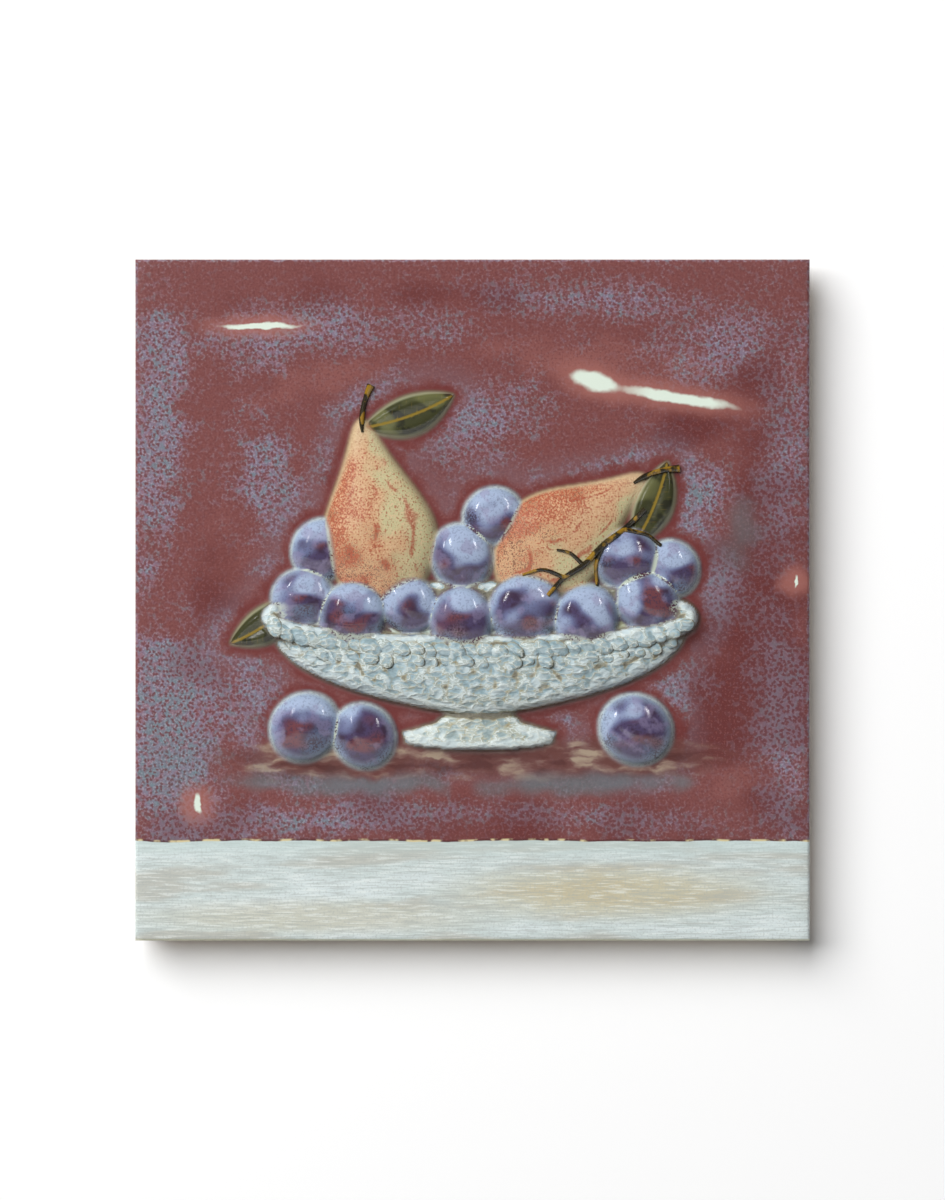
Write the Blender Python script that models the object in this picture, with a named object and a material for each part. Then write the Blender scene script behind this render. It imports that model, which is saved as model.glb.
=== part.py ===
"""Ceramic painting: a square stoneware slab with a still life of fruit in low relief on its face.

The slab is one fired piece. Its face carries a footed bowl with a pinched rim, two pears with
their stalks, a heap of plums and three leaves, all modelled low. Its back has a square foot of ribs,
which holds the slab off the wall and hooks over two wall screws.

Metres, +Z up. The face looks along -Y and the wall is the plane y = 0. The origin is the middle of
the back, on the middle rib's wall face. Heights of the relief are measured from the slab's face.
"""

import math

import bmesh
import bpy
from mathutils import Vector

# Slab
PANEL_WIDTH = 0.298
PANEL_HEIGHT = 0.301
SLAB_THICKNESS = 0.010
EDGE_ROUND = 0.0016
EDGE_STEPS = 3
SOFTENED_SHARE = 0.9

# Foot ribs on the back
RIB_DEPTH = 0.009
RIB_WIDTH = 0.016
RIB_INSET = 0.024
MIDDLE_RIB_WIDTH = 0.020
RIB_BITE = 0.003

# How deep every relief form is rooted in the slab
ROOT = 0.004

# Middle of the still life on the face
GROUP_X = 0.003
GROUP_Z = 0.014

# Footed bowl. Levels are heights on the bowl's axis, from the middle of the still life.
BOWL_RIM_RADIUS = 0.092
BOWL_STEM_RADIUS = 0.014
BOWL_FOOT_RADIUS = 0.034
BOWL_RIM_LEVEL = -0.022
BOWL_STEM_LEVEL = -0.063
BOWL_FOOT_LEVEL = -0.076
BOWL_FOOT_EDGE = 0.004
BOWL_FOOT_TAPER = 0.96
BOWL_WAIST_SHARE = 0.25
BOWL_RELIEF = 0.0078
BOWL_LIFT = 0.0006
BOWL_SWELL = 2.6
BOWL_SHALLOWING = 0.6
VIEW_TILT = 0.13
STEEPEST_CONTOUR = 0.9
GADROONS = 14
GADROON_DEPTH = 0.0010

# Pinched rim of the bowl
RIM_HALF_WIDTH = 0.0056
RIM_ROLL = 0.0026
RIM_FRONT_LIFT = 0.0062
RIM_BACK_LIFT = 0.0014
RIM_PINCHES = 38
RIM_PINCH_SHARE = 0.24
RIM_SHOULDER = 0.6
RIM_SHOULDER_RISE = 0.8

# Inside of the bowl, seen behind the fruit
WELL_LIFT = 0.0010
WELL_RELIEF = 0.0008
WELL_MARGIN = 0.002

# Pears: base of the core line x and z, length, greatest radius, lean from +X in degrees, lift, relief
PEAR_SHOULDER = 0.52
PEAR_NECK = 0.60
PEAR_NECK_START = 0.25
PEAR_NECK_RUN = 0.70
PEARS = (
    ("right_pear", 0.009, -0.007, 0.080, 0.0255, 37.0, 0.0004, 0.0078),
    ("left_pear", -0.039, -0.019, 0.086, 0.0280, 99.0, 0.0006, 0.0086),
)
STALK_LENGTH = 0.020
STALK_HALF_WIDTH = 0.0016
STALK_HEIGHT = 0.0030
STALK_BEND = 0.35
STALK_OVERLAP = 0.006
STALK_TAPER = 0.35
STALK_SHOULDER = 0.5
STALK_SIDE_RISE = 0.45

# Leaves: foot of the midrib x and z, length, half width, lean in degrees, bend of the midrib, lift
LEAF_RELIEF = 0.0022
LEAF_VALLEY = 0.5
LEAF_SHOULDER = 0.55
LEAF_FULLNESS = 0.8
LEAVES = (
    ("pear_leaf", -0.051, 0.062, 0.042, 0.0090, 20.0, -0.20, 0.0010),
    ("hanging_leaf", -0.080, -0.013, 0.036, 0.0082, 214.0, 0.22, 0.0012),
    ("back_leaf", 0.068, 0.010, 0.040, 0.0086, 68.0, -0.18, 0.0008),
)

# Plums: middle x and z, radius, lean of the long axis in degrees, lift
PLUM_LENGTHENING = 1.08
PLUM_RELIEF_SHARE = 0.37
PLUMS = (
    (-0.070, 0.008, 0.0132, 70.0, 0.0005),
    (0.006, 0.023, 0.0128, 30.0, 0.0004),
    (0.085, 0.000, 0.0120, 120.0, 0.0006),
    (-0.008, 0.005, 0.0140, 110.0, 0.0012),
    (0.065, 0.004, 0.0138, 20.0, 0.0014),
    (-0.078, -0.013, 0.0132, 15.0, 0.0020),
    (0.074, -0.015, 0.0138, 150.0, 0.0024),
    (-0.031, -0.016, 0.0128, 140.0, 0.0026),
    (0.020, -0.018, 0.0156, 30.0, 0.0034),
    (-0.056, -0.021, 0.0148, 60.0, 0.0036),
    (0.047, -0.022, 0.0144, 60.0, 0.0042),
    (-0.008, -0.023, 0.0142, 95.0, 0.0044),
    (-0.051, -0.074, 0.0140, 125.0, 0.0006),
    (-0.077, -0.070, 0.0150, 40.0, 0.0009),
    (0.069, -0.071, 0.0156, 150.0, 0.0007),
)

# Steps of the faceted forms
PLUM_SIDES = 20
PLUM_RINGS = 4
PEAR_ROWS = 14
PEAR_COLUMNS = 12
GADROON_STEPS = 3
RIM_PINCH_STEPS = 3
BODY_ROWS = 6
STALK_ROWS = 4
WELL_SIDES = 28
LEAF_ROWS = 8

FACE_Y = -(RIB_DEPTH + SLAB_THICKNESS)


def clear_scene():
    """Removes what the file starts with."""
    for thing in list(bpy.data.objects):
        bpy.data.objects.remove(thing)


def on_face(x, z, height):
    """A point of the relief: x and z from the middle of the still life, height above the face."""
    return Vector((GROUP_X + x, FACE_Y - height, GROUP_Z + z))


def finished(name, mesh):
    """Turns a bmesh into an object, with its faces outward."""
    bmesh.ops.remove_doubles(mesh, verts=mesh.verts, dist=1e-6)
    bmesh.ops.recalc_face_normals(mesh, faces=mesh.faces)
    data = bpy.data.meshes.new(name)
    mesh.to_mesh(data)
    mesh.free()
    thing = bpy.data.objects.new(name, data)
    bpy.context.scene.collection.objects.link(thing)
    return thing


def block(name, low, high):
    """An upright block between two corners."""
    mesh = bmesh.new()
    bmesh.ops.create_cube(mesh, size=1.0)
    for corner in mesh.verts:
        for axis in range(3):
            corner.co[axis] = low[axis] if corner.co[axis] < 0 else high[axis]
    return finished(name, mesh)


def soften(thing, width, steps, chosen):
    """Rounds the edges of a thing whose middle passes the test chosen."""
    mesh = bmesh.new()
    mesh.from_mesh(thing.data)
    edges = [e for e in mesh.edges if chosen((e.verts[0].co + e.verts[1].co) / 2)]
    bmesh.ops.bevel(mesh, geom=edges, offset=width, segments=steps, profile=0.5, affect="EDGES")
    mesh.to_mesh(thing.data)
    mesh.free()
    return thing


def surface_form(name, rows, around):
    """A form whose upper skin is a grid of points, with straight walls down to its root.

    Each row runs round the form when around is true, and across it when it isn't.
    """
    mesh = bmesh.new()
    grid = [[mesh.verts.new(point) for point in row] for row in rows]
    for upper, lower in zip(grid, grid[1:]):
        count = len(upper)
        for i in range(count if around else count - 1):
            j = (i + 1) % count
            mesh.faces.new((upper[i], upper[j], lower[j], lower[i]))
    bmesh.ops.remove_doubles(mesh, verts=mesh.verts, dist=1e-6)
    rim = [edge for edge in mesh.edges if edge.is_boundary]
    walls = bmesh.ops.extrude_edge_only(mesh, edges=rim)["geom"]
    for part in walls:
        if isinstance(part, bmesh.types.BMVert):
            part.co.y = FACE_Y + ROOT
    floor = [e for e in walls if isinstance(e, bmesh.types.BMEdge) and e.is_boundary]
    bmesh.ops.holes_fill(mesh, edges=floor, sides=0)
    return finished(name, mesh)


def ring_form(name, sections, closed):
    """A form swept through closed sections: a ring when closed is true, else a bar with ends."""
    mesh = bmesh.new()
    loops = [[mesh.verts.new(point) for point in section] for section in sections]
    pairs = list(zip(loops, loops[1:]))
    if closed:
        pairs.append((loops[-1], loops[0]))
    for first, second in pairs:
        count = len(first)
        for i in range(count):
            j = (i + 1) % count
            mesh.faces.new((first[i], first[j], second[j], second[i]))
    if not closed:
        mesh.faces.new(loops[0])
        mesh.faces.new(loops[-1])
    return finished(name, mesh)


def dome(name, x, z, half_length, half_width, lean, lift, relief, sides, rings):
    """A low dome with an oval outline, such as a plum."""
    turn = math.radians(lean)
    rows = []
    for ring in range(rings + 1):
        slope = math.pi / 2 * ring / rings
        reach, rise = math.cos(slope), math.sin(slope)
        if ring == rings:
            reach = 0.0
        row = []
        for side in range(sides):
            angle = 2 * math.pi * side / sides
            along = half_length * reach * math.cos(angle)
            across = half_width * reach * math.sin(angle)
            dx = along * math.cos(turn) - across * math.sin(turn)
            dz = along * math.sin(turn) + across * math.cos(turn)
            row.append(on_face(x + dx, z + dz, lift + relief * rise))
        rows.append(row)
    return surface_form(name, rows, around=True)


def pear_radius(share):
    """The pear's radius as a share of its greatest width, from its base at 0 to its tip at 1."""
    step = min(max((share - PEAR_NECK_START) / PEAR_NECK_RUN, 0.0), 1.0)
    neck = 1.0 - PEAR_NECK * step * step * (3.0 - 2.0 * step)
    return max(math.sin(math.pi * share), 0.0) ** PEAR_SHOULDER * neck


def pear(name, x, z, length, radius, lean, lift, relief):
    """A pear lying on its core line, flattened to the relief."""
    turn = math.radians(lean)
    core = Vector((math.cos(turn), math.sin(turn)))
    side = Vector((-core.y, core.x))
    rows = []
    for row in range(PEAR_ROWS + 1):
        share = (1.0 - math.cos(math.pi * row / PEAR_ROWS)) / 2
        reach = 0.0 if row in (0, PEAR_ROWS) else pear_radius(share)
        points = []
        for column in range(PEAR_COLUMNS + 1):
            swing = math.pi * column / PEAR_COLUMNS
            place = core * length * share + side * radius * reach * math.cos(swing)
            points.append(on_face(x + place.x, z + place.y, lift + relief * reach * math.sin(swing)))
        rows.append(points)
    return surface_form(name, rows, around=False)


def stalk(name, x, z, length, lean):
    """A pear's stalk: a short tapering bar that bends away from the core line."""
    turn = math.radians(lean)
    core = Vector((math.cos(turn), math.sin(turn)))
    side = Vector((-core.y, core.x))
    tip = Vector((x, z)) + core * (length - STALK_OVERLAP)
    low = STALK_HEIGHT * STALK_SIDE_RISE
    outline = ((-1.0, -ROOT), (-1.0, low), (-STALK_SHOULDER, STALK_HEIGHT),
               (STALK_SHOULDER, STALK_HEIGHT), (1.0, low), (1.0, -ROOT))
    sections = []
    for row in range(STALK_ROWS + 1):
        share = row / STALK_ROWS
        place = tip + core * STALK_LENGTH * share - side * STALK_LENGTH * STALK_BEND * share**2
        wide = STALK_HALF_WIDTH * (1.0 - STALK_TAPER * share)
        section = []
        for across, height in outline:
            spot = place + side * wide * across
            section.append(on_face(spot.x, spot.y, height))
        sections.append(section)
    return ring_form(name, sections, closed=False)


def leaf(name, x, z, length, half_width, lean, bend, lift):
    """A pointed leaf with a bent midrib, whose two halves rise from a valley along it."""
    turn = math.radians(lean)
    core = Vector((math.cos(turn), math.sin(turn)))
    side = Vector((-core.y, core.x))
    section = ((-1.0, 0.0), (-LEAF_SHOULDER, 1.0), (0.0, LEAF_VALLEY), (LEAF_SHOULDER, 1.0), (1.0, 0.0))
    rows = []
    for row in range(LEAF_ROWS + 1):
        share = row / LEAF_ROWS
        place = Vector((x, z)) + core * length * share + side * length * bend * share * (1.0 - share)
        wide = half_width * math.sin(math.pi * share) ** LEAF_FULLNESS if 0 < row < LEAF_ROWS else 0.0
        fullness = wide / half_width
        points = []
        for across, rise in section:
            spot = place + side * wide * across
            points.append(on_face(spot.x, spot.y, lift + LEAF_RELIEF * rise * fullness))
        rows.append(points)
    return surface_form(name, rows, around=False)


def bowl_profile():
    """Levels and radii of the bowl's outside, from the foot up to the rim."""
    foot_top = BOWL_FOOT_LEVEL + BOWL_FOOT_EDGE
    waist = (foot_top + BOWL_STEM_LEVEL) / 2
    waist_radius = BOWL_STEM_RADIUS + BOWL_WAIST_SHARE * (BOWL_FOOT_RADIUS - BOWL_STEM_RADIUS)
    profile = [
        (BOWL_FOOT_LEVEL, BOWL_FOOT_RADIUS * BOWL_FOOT_TAPER),
        (foot_top, BOWL_FOOT_RADIUS),
        (waist, waist_radius),
    ]
    for row in range(BODY_ROWS + 1):
        share = row / BODY_ROWS
        swell = 1.0 - (1.0 - share) ** BOWL_SWELL
        level = BOWL_STEM_LEVEL + share * (BOWL_RIM_LEVEL - BOWL_STEM_LEVEL)
        profile.append((level, BOWL_STEM_RADIUS + swell * (BOWL_RIM_RADIUS - BOWL_STEM_RADIUS)))
    return profile


def contour_swings(profile):
    """For each level, the swing at which the turned wall passes out of sight, seen from above."""
    flares = [(r2 - r1) / (l2 - l1) for (l1, r1), (l2, r2) in zip(profile, profile[1:])]
    around = zip(flares[:1] + flares, flares + flares[-1:])
    return [math.asin(min(max(VIEW_TILT * max(pair), 0.0), STEEPEST_CONTOUR)) for pair in around]


def bowl_body():
    """The footed bowl's outside, seen a little from above, with upright gadroons on its body."""
    profile = bowl_profile()
    steps = GADROONS * GADROON_STEPS
    rows = []
    for (level, radius), first in zip(profile, contour_swings(profile)):
        share = radius / BOWL_RIM_RADIUS
        fluted = max(level - BOWL_STEM_LEVEL, 0.0) / (BOWL_RIM_LEVEL - BOWL_STEM_LEVEL)
        row = []
        for step in range(steps + 1):
            swing = first + (math.pi - 2 * first) * step / steps
            front = (math.sin(swing) - math.sin(first)) / (1.0 - math.sin(first))
            flute = GADROON_DEPTH * fluted * abs(math.sin(math.pi * step / GADROON_STEPS)) * front
            height = BOWL_LIFT + BOWL_RELIEF * share**BOWL_SHALLOWING * front + flute
            x = -radius * math.cos(swing)
            row.append(on_face(x, level - VIEW_TILT * radius * math.sin(swing), height))
        rows.append(row)
    return surface_form("bowl_body", rows, around=False)


def bowl_rim():
    """The bowl's rolled rim, pinched all round like a pie crust."""
    sections = []
    for step in range(RIM_PINCHES * RIM_PINCH_STEPS):
        angle = 2 * math.pi * step / (RIM_PINCHES * RIM_PINCH_STEPS)
        nearness = (1.0 - math.sin(angle)) / 2
        pinch = 1.0 - RIM_PINCH_SHARE * (1.0 + math.cos(RIM_PINCHES * angle)) / 2
        x = BOWL_RIM_RADIUS * math.cos(angle)
        z = BOWL_RIM_LEVEL + VIEW_TILT * BOWL_RIM_RADIUS * math.sin(angle)
        lift = RIM_BACK_LIFT + (RIM_FRONT_LIFT - RIM_BACK_LIFT) * nearness
        out = Vector((math.cos(angle), math.sin(angle)))
        roll = RIM_ROLL * pinch
        shoulder = lift + roll * RIM_SHOULDER_RISE
        outline = ((-1.0, -ROOT), (-1.0, lift), (-RIM_SHOULDER, shoulder), (0.0, lift + roll),
                   (RIM_SHOULDER, shoulder), (1.0, lift), (1.0, -ROOT))
        section = []
        for across, height in outline:
            reach = RIM_HALF_WIDTH * pinch * across
            section.append(on_face(x + out.x * reach, z + out.y * reach * (1 - VIEW_TILT), height))
        sections.append(section)
    return ring_form("bowl_rim", sections, closed=True)


def bowl_well():
    """The inside of the bowl, between its rim and the fruit."""
    half = BOWL_RIM_RADIUS - WELL_MARGIN
    return dome("bowl_well", 0.0, BOWL_RIM_LEVEL, half, half * VIEW_TILT, 0.0, WELL_LIFT, WELL_RELIEF,
                WELL_SIDES, 1)


def slab():
    """The square slab, with its face edges rounded."""
    half_width, half_height = PANEL_WIDTH / 2, PANEL_HEIGHT / 2
    low = (-half_width, FACE_Y, -half_height)
    high = (half_width, -RIB_DEPTH, half_height)
    softened = FACE_Y + SLAB_THICKNESS * SOFTENED_SHARE
    body = block("painted_slab", low, high)
    return soften(body, EDGE_ROUND, EDGE_STEPS, lambda middle: middle.y < softened)


def foot_ribs():
    """The square foot of ribs and its middle rib, each rooted in the slab."""
    outer_x = PANEL_WIDTH / 2 - RIB_INSET
    outer_z = PANEL_HEIGHT / 2 - RIB_INSET
    inner_x, inner_z = outer_x - RIB_WIDTH, outer_z - RIB_WIDTH
    front = -RIB_DEPTH - RIB_BITE
    half_middle = MIDDLE_RIB_WIDTH / 2
    sides = {
        "top_rib": ((-outer_x, inner_z), (outer_x, outer_z)),
        "bottom_rib": ((-outer_x, -outer_z), (outer_x, -inner_z)),
        "left_rib": ((-outer_x, -inner_z - RIB_BITE), (-inner_x, inner_z + RIB_BITE)),
        "right_rib": ((inner_x, -inner_z - RIB_BITE), (outer_x, inner_z + RIB_BITE)),
        "middle_rib": ((-half_middle, -inner_z - RIB_BITE), (half_middle, inner_z + RIB_BITE)),
    }
    ribs = []
    for name, (low, high) in sides.items():
        ribs.append(block(name, (low[0], front, low[1]), (high[0], 0.0, high[1])))
    return ribs


def fuse(body, forms):
    """Fires the forms onto the body: a Boolean union for each, applied at once."""
    for form in forms:
        joint = body.modifiers.new(form.name, "BOOLEAN")
        joint.operation = "UNION"
        joint.solver = "EXACT"
        joint.object = form
        view = bpy.context.evaluated_depsgraph_get()
        joined = bpy.data.meshes.new_from_object(body.evaluated_get(view))
        body.modifiers.remove(joint)
        body.data = joined
        bpy.data.objects.remove(form)
    body.data.name = body.name
    return body


def stoneware():
    """The slab's own material: a brick-red glaze over pale stoneware."""
    glaze = bpy.data.materials.new("glazed_stoneware")
    glaze.use_nodes = True
    shader = glaze.node_tree.nodes["Principled BSDF"]
    shader.inputs["Base Color"].default_value = (0.21, 0.08, 0.08, 1.0)
    shader.inputs["Roughness"].default_value = 0.35
    shader.inputs["Metallic"].default_value = 0.0
    return glaze


def still_life():
    """Every relief form, from the furthest to the nearest."""
    forms = [bowl_well()]
    forms += [leaf(*values) for values in LEAVES]
    for name, x, z, length, radius, lean, lift, relief in PEARS:
        forms.append(stalk(name + "_stalk", x, z, length, lean))
        forms.append(pear(name, x, z, length, radius, lean, lift, relief))
    for number, (x, z, radius, lean, lift) in enumerate(PLUMS, start=1):
        forms.append(dome(f"plum_{number:02d}", x, z, radius * PLUM_LENGTHENING, radius, lean, lift,
                          radius * PLUM_RELIEF_SHARE, PLUM_SIDES, PLUM_RINGS))
    forms.append(bowl_body())
    forms.append(bowl_rim())
    return forms


def main():
    clear_scene()
    panel = fuse(slab(), foot_ribs() + still_life())
    panel.data.materials.clear()
    panel.data.materials.append(stoneware())


main()
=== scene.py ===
# %% [markdown]
# # A ceramic painting: fruit in a footed bowl, in glazed low relief
# The real object is one square slab of stoneware, about 30 cm across. A still life is modelled on its
# face in low relief, and the face is painted with glazes that ran and mottled in the kiln. The back
# is bare clay with a square of ribs. This lesson takes the plain solid as its frame and dresses it:
# a glaze skin over the face, a clay body behind it, and small pieces that repeat along the bowl.

# %% Load the frame
import math
from dataclasses import dataclass

import bmesh
import bpy
import numpy as np
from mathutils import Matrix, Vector, kdtree, noise


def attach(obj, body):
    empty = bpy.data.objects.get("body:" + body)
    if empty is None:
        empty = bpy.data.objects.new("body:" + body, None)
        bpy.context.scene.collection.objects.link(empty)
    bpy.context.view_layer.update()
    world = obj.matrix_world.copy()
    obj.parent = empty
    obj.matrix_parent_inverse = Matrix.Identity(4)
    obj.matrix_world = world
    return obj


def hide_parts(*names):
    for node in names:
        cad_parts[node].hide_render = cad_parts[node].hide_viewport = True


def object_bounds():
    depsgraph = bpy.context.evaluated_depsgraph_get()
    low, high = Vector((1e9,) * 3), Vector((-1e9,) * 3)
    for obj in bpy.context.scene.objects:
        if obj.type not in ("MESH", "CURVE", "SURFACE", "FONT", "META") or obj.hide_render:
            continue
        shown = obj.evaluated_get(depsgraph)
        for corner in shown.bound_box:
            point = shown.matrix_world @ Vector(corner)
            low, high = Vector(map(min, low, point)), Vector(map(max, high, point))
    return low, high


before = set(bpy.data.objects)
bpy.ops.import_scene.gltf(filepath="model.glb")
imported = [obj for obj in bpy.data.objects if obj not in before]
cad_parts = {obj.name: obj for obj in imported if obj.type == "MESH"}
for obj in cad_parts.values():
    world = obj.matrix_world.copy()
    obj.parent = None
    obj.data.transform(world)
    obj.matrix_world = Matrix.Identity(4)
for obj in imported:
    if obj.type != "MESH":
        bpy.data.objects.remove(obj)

SLAB_NODE = "painted_slab"
cad_low, cad_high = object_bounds()
print("solid's box in mm", [round(v * 1000, 1) for v in (*cad_low, *cad_high)])

# %% [markdown]
# The slab's face is the plane that the relief stands on. It isn't the solid's lowest Y, because the
# fruit stands in front of it, so it is read at the slab's corner, where nothing is modelled.

# %% Where the face is
CORNER_REACH = 0.005
slab_points = np.array([v.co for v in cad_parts[SLAB_NODE].data.vertices])
at_corner = ((slab_points[:, 0] > cad_high.x - CORNER_REACH)
             & (slab_points[:, 2] > cad_high.z - CORNER_REACH))
FACE_Y = float(slab_points[at_corner, 1].min())
HALF_WIDTH = cad_high.x
HALF_HEIGHT = cad_high.z
print("face plane at y =", round(FACE_Y, 4), "slab", round(HALF_WIDTH * 2, 3), "x", round(HALF_HEIGHT * 2, 3))

# %% [markdown]
# ## Small helpers
# Glaze colours are written as sRGB hex values, as read from a colour card, and Blender's shaders want
# linear light. One function turns one into the other. The second adds a shader or geometry node
# with its settings and links, so that each recipe below reads as a list of steps. Two more start an
# empty material and put an object into the scene.


# %% Colour, node, material and object helpers
def linear(hex_colour):
    """An sRGB hex colour as linear RGBA."""
    parts = [int(hex_colour[i:i + 2], 16) / 255 for i in (1, 3, 5)]
    return tuple(p / 12.92 if p <= 0.04045 else ((p + 0.055) / 1.055) ** 2.4 for p in parts) + (1.0,)


def add(tree, kind, links=None, **settings):
    """Adds a node, sets its properties, then links or fills its inputs."""
    node = tree.nodes.new(kind)
    for name, value in settings.items():
        setattr(node, name, value)
    for key, value in (links or {}).items():
        named = [s for s in node.inputs if s.enabled and s.name == key]
        socket = node.inputs[key] if isinstance(key, int) else named[0]
        if isinstance(value, bpy.types.Node):
            value = next(s for s in value.outputs if s.enabled)
        if isinstance(value, bpy.types.NodeSocket):
            tree.links.new(value, socket)
        else:
            socket.default_value = value
    return node


def new_material(name):
    """An empty material and its node tree."""
    material = bpy.data.materials.new(name)
    material.use_nodes = True
    material.node_tree.nodes.clear()
    return material, material.node_tree


def put(name, data):
    """A new object that shows this data, linked into the scene."""
    placed_object = bpy.data.objects.new(name, data)
    bpy.context.scene.collection.objects.link(placed_object)
    return placed_object


print("brick red glaze in linear light", [round(v, 3) for v in linear("#7e4a48")])

# %% [markdown]
# ## The view
# The slab hangs square to the lens, so neither side shows. A long lens stands back until the frame is
# 530 mm tall at the face, which puts the slab in the middle with white wall all round.

# %% Camera
FRAME_HEIGHT = 0.5297
LENS = 100.0
SENSOR = 36.0
camera_data = bpy.data.cameras.new("Camera")
camera_data.lens = LENS
camera_data.sensor_width = SENSOR
camera = put("Camera", camera_data)
stand_back = FRAME_HEIGHT * LENS / SENSOR
camera.location = (0.0, FACE_Y - stand_back, 0.0)
camera.rotation_euler = (math.pi / 2, 0.0, 0.0)
bpy.context.scene.camera = camera
print("camera stands", round(stand_back, 3), "m from the face")

# %% [markdown]
# ## Wall, floor and light
# The slab hangs on a white wall over a pale floor. The wall's paint shows from the front alone, and its
# middle, behind the slab, throws no shadow, so that the slab's back can be lit and looked at.


# %% Wall and floor
def stage_sheet(name, corners, faces, passes=()):
    """A flat sheet of the stage in matt white paint, see-through where one of these passes holds."""
    data = bpy.data.meshes.new(name)
    data.from_pydata(corners, [], faces)
    sheet = put(name, data)
    paint, tree = new_material(name + "_paint")
    front = add(tree, "ShaderNodeBsdfDiffuse", {"Color": linear("#ffffff")})
    for kind, output in passes:
        front = add(tree, "ShaderNodeMixShader", {0: add(tree, kind).outputs[output], 1: front,
                                                  2: add(tree, "ShaderNodeBsdfTransparent")})
    add(tree, "ShaderNodeOutputMaterial", {"Surface": front})
    data.materials.append(paint)
    return sheet


def rectangle(low_x, low_y, high_x, high_y):
    """A rectangle's four corners, once round."""
    return [(low_x, low_y), (high_x, low_y), (high_x, high_y), (low_x, high_y)]


STAGE_REACH = 3.0
FLOOR_Z = -0.62
WALL_GAP = 0.0004
MIDDLE_INSET = 0.005
FROM_BEHIND = ("ShaderNodeNewGeometry", "Backfacing")
FOR_SHADOWS = ("ShaderNodeLightPath", "Is Shadow Ray")
middle_x, middle_z = HALF_WIDTH - MIDDLE_INSET, HALF_HEIGHT - MIDDLE_INSET
outer = rectangle(-STAGE_REACH, FLOOR_Z, STAGE_REACH, STAGE_REACH)
inner = rectangle(-middle_x, -middle_z, middle_x, middle_z)
wall = stage_sheet("wall", [(x, WALL_GAP, z) for x, z in outer + inner],
                   [(i, (i + 1) % 4, (i + 1) % 4 + 4, i + 4) for i in range(4)], (FROM_BEHIND,))
wall_middle = stage_sheet("wall_middle", [(x, WALL_GAP, z) for x, z in inner], [(0, 1, 2, 3)],
                          (FROM_BEHIND, FOR_SHADOWS))
floor_corners = rectangle(-STAGE_REACH, -STAGE_REACH, STAGE_REACH, STAGE_REACH)
floor = stage_sheet("floor", [(x, y, FLOOR_Z) for x, y in floor_corners], [(0, 1, 2, 3)])
floor.visible_diffuse = False
print("stage:", wall.name, wall_middle.name, floor.name)

# %% [markdown]
# One very large soft key light stands high on the left. It is so wide that the slab's shadow starts
# dark at the right and lower edges and fades out over 2 cm. Two narrow strips make the small bright
# glints on the wet-looking fruit, and no other light. The key lights without a reflection of its own,
# as a cloth tent does in a studio. Two lamps behind the wall light the back.


# %% Lights
def soft_light(name, place, width, height, power):
    """A rectangular softbox that faces the slab."""
    data = bpy.data.lights.new(name, "AREA")
    data.shape = "RECTANGLE"
    data.size = width
    data.size_y = height
    data.energy = power
    lamp = put(name, data)
    lamp.location = place
    aim = Vector((0.0, FACE_Y, 0.0)) - Vector(place)
    lamp.rotation_euler = aim.to_track_quat("-Z", "Y").to_euler()
    return lamp


# Name, place, width, height, power in watts
LAMPS = (
    ("key", (-2.17, -3.43, 2.24), 4.2, 4.2, 337.0),
    ("left_strip", (-0.62, -1.30, 0.50), 0.050, 0.26, 1.3),
    ("right_strip", (0.56, -1.30, 0.56), 0.050, 0.26, 1.1),
    ("back_left", (-1.3, 1.5, 1.0), 1.2, 1.2, 26.0),
    ("back_right", (1.3, 1.5, 0.5), 1.2, 1.2, 19.0),
)
WORLD_STRENGTH = 0.115
lamps = {lamp[0]: soft_light(*lamp) for lamp in LAMPS}
lamps["key"].visible_glossy = False
for strip in ("left_strip", "right_strip"):
    lamps[strip].visible_diffuse = False
world = bpy.data.worlds.new("studio")
world.use_nodes = True
background = world.node_tree.nodes["Background"].inputs
background["Color"].default_value = (1.0, 1.0, 1.0, 1.0)
background["Strength"].default_value = WORLD_STRENGTH
bpy.context.scene.world = world
bpy.context.scene.view_settings.view_transform = "Standard"
bpy.context.scene.view_settings.look = "None"

# %% [markdown]
# ## The still life, as a list of forms
# The relief is a heap of simple forms: domes for plums, flattened turned shapes for the pears and the
# bowl, pointed ovals for leaves. Each is placed from the middle of the still life, in metres, with
# the sizes that the maker's solid has. A form's height is measured out from the slab's face.

# %% Sizes of the relief
GROUP_X = 0.003
GROUP_Z = 0.014
BOWL_RIM_RADIUS = 0.092
BOWL_STEM_RADIUS = 0.014
BOWL_FOOT_RADIUS = 0.034
BOWL_RIM_LEVEL = -0.022
BOWL_STEM_LEVEL = -0.063
BOWL_FOOT_LEVEL = -0.076
BOWL_FOOT_EDGE = 0.004
BOWL_RELIEF = 0.0078
BOWL_LIFT = 0.0006
BOWL_SWELL = 2.6
BOWL_SHALLOWING = 0.6
VIEW_TILT = 0.13
GADROONS = 14
GADROON_DEPTH = 0.0010
RIM_HALF_WIDTH = 0.0050
RIM_ROLL = 0.0019
RIM_FRONT_LIFT = 0.0060
RIM_BACK_LIFT = 0.0014
RIM_PINCHES = 38
WELL_LIFT = 0.0010
WELL_RELIEF = 0.0008

# Pears: name, base of the core line x and z, length, greatest radius, lean in degrees, lift, relief
PEAR_SHOULDER = 0.52
PEAR_NECK = 0.60
PEAR_NECK_START = 0.25
PEAR_NECK_RUN = 0.70
PEARS = (
    ("right_pear", 0.009, -0.007, 0.080, 0.0255, 37.0, 0.0004, 0.0078),
    ("left_pear", -0.039, -0.019, 0.086, 0.0280, 99.0, 0.0006, 0.0086),
)

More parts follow.
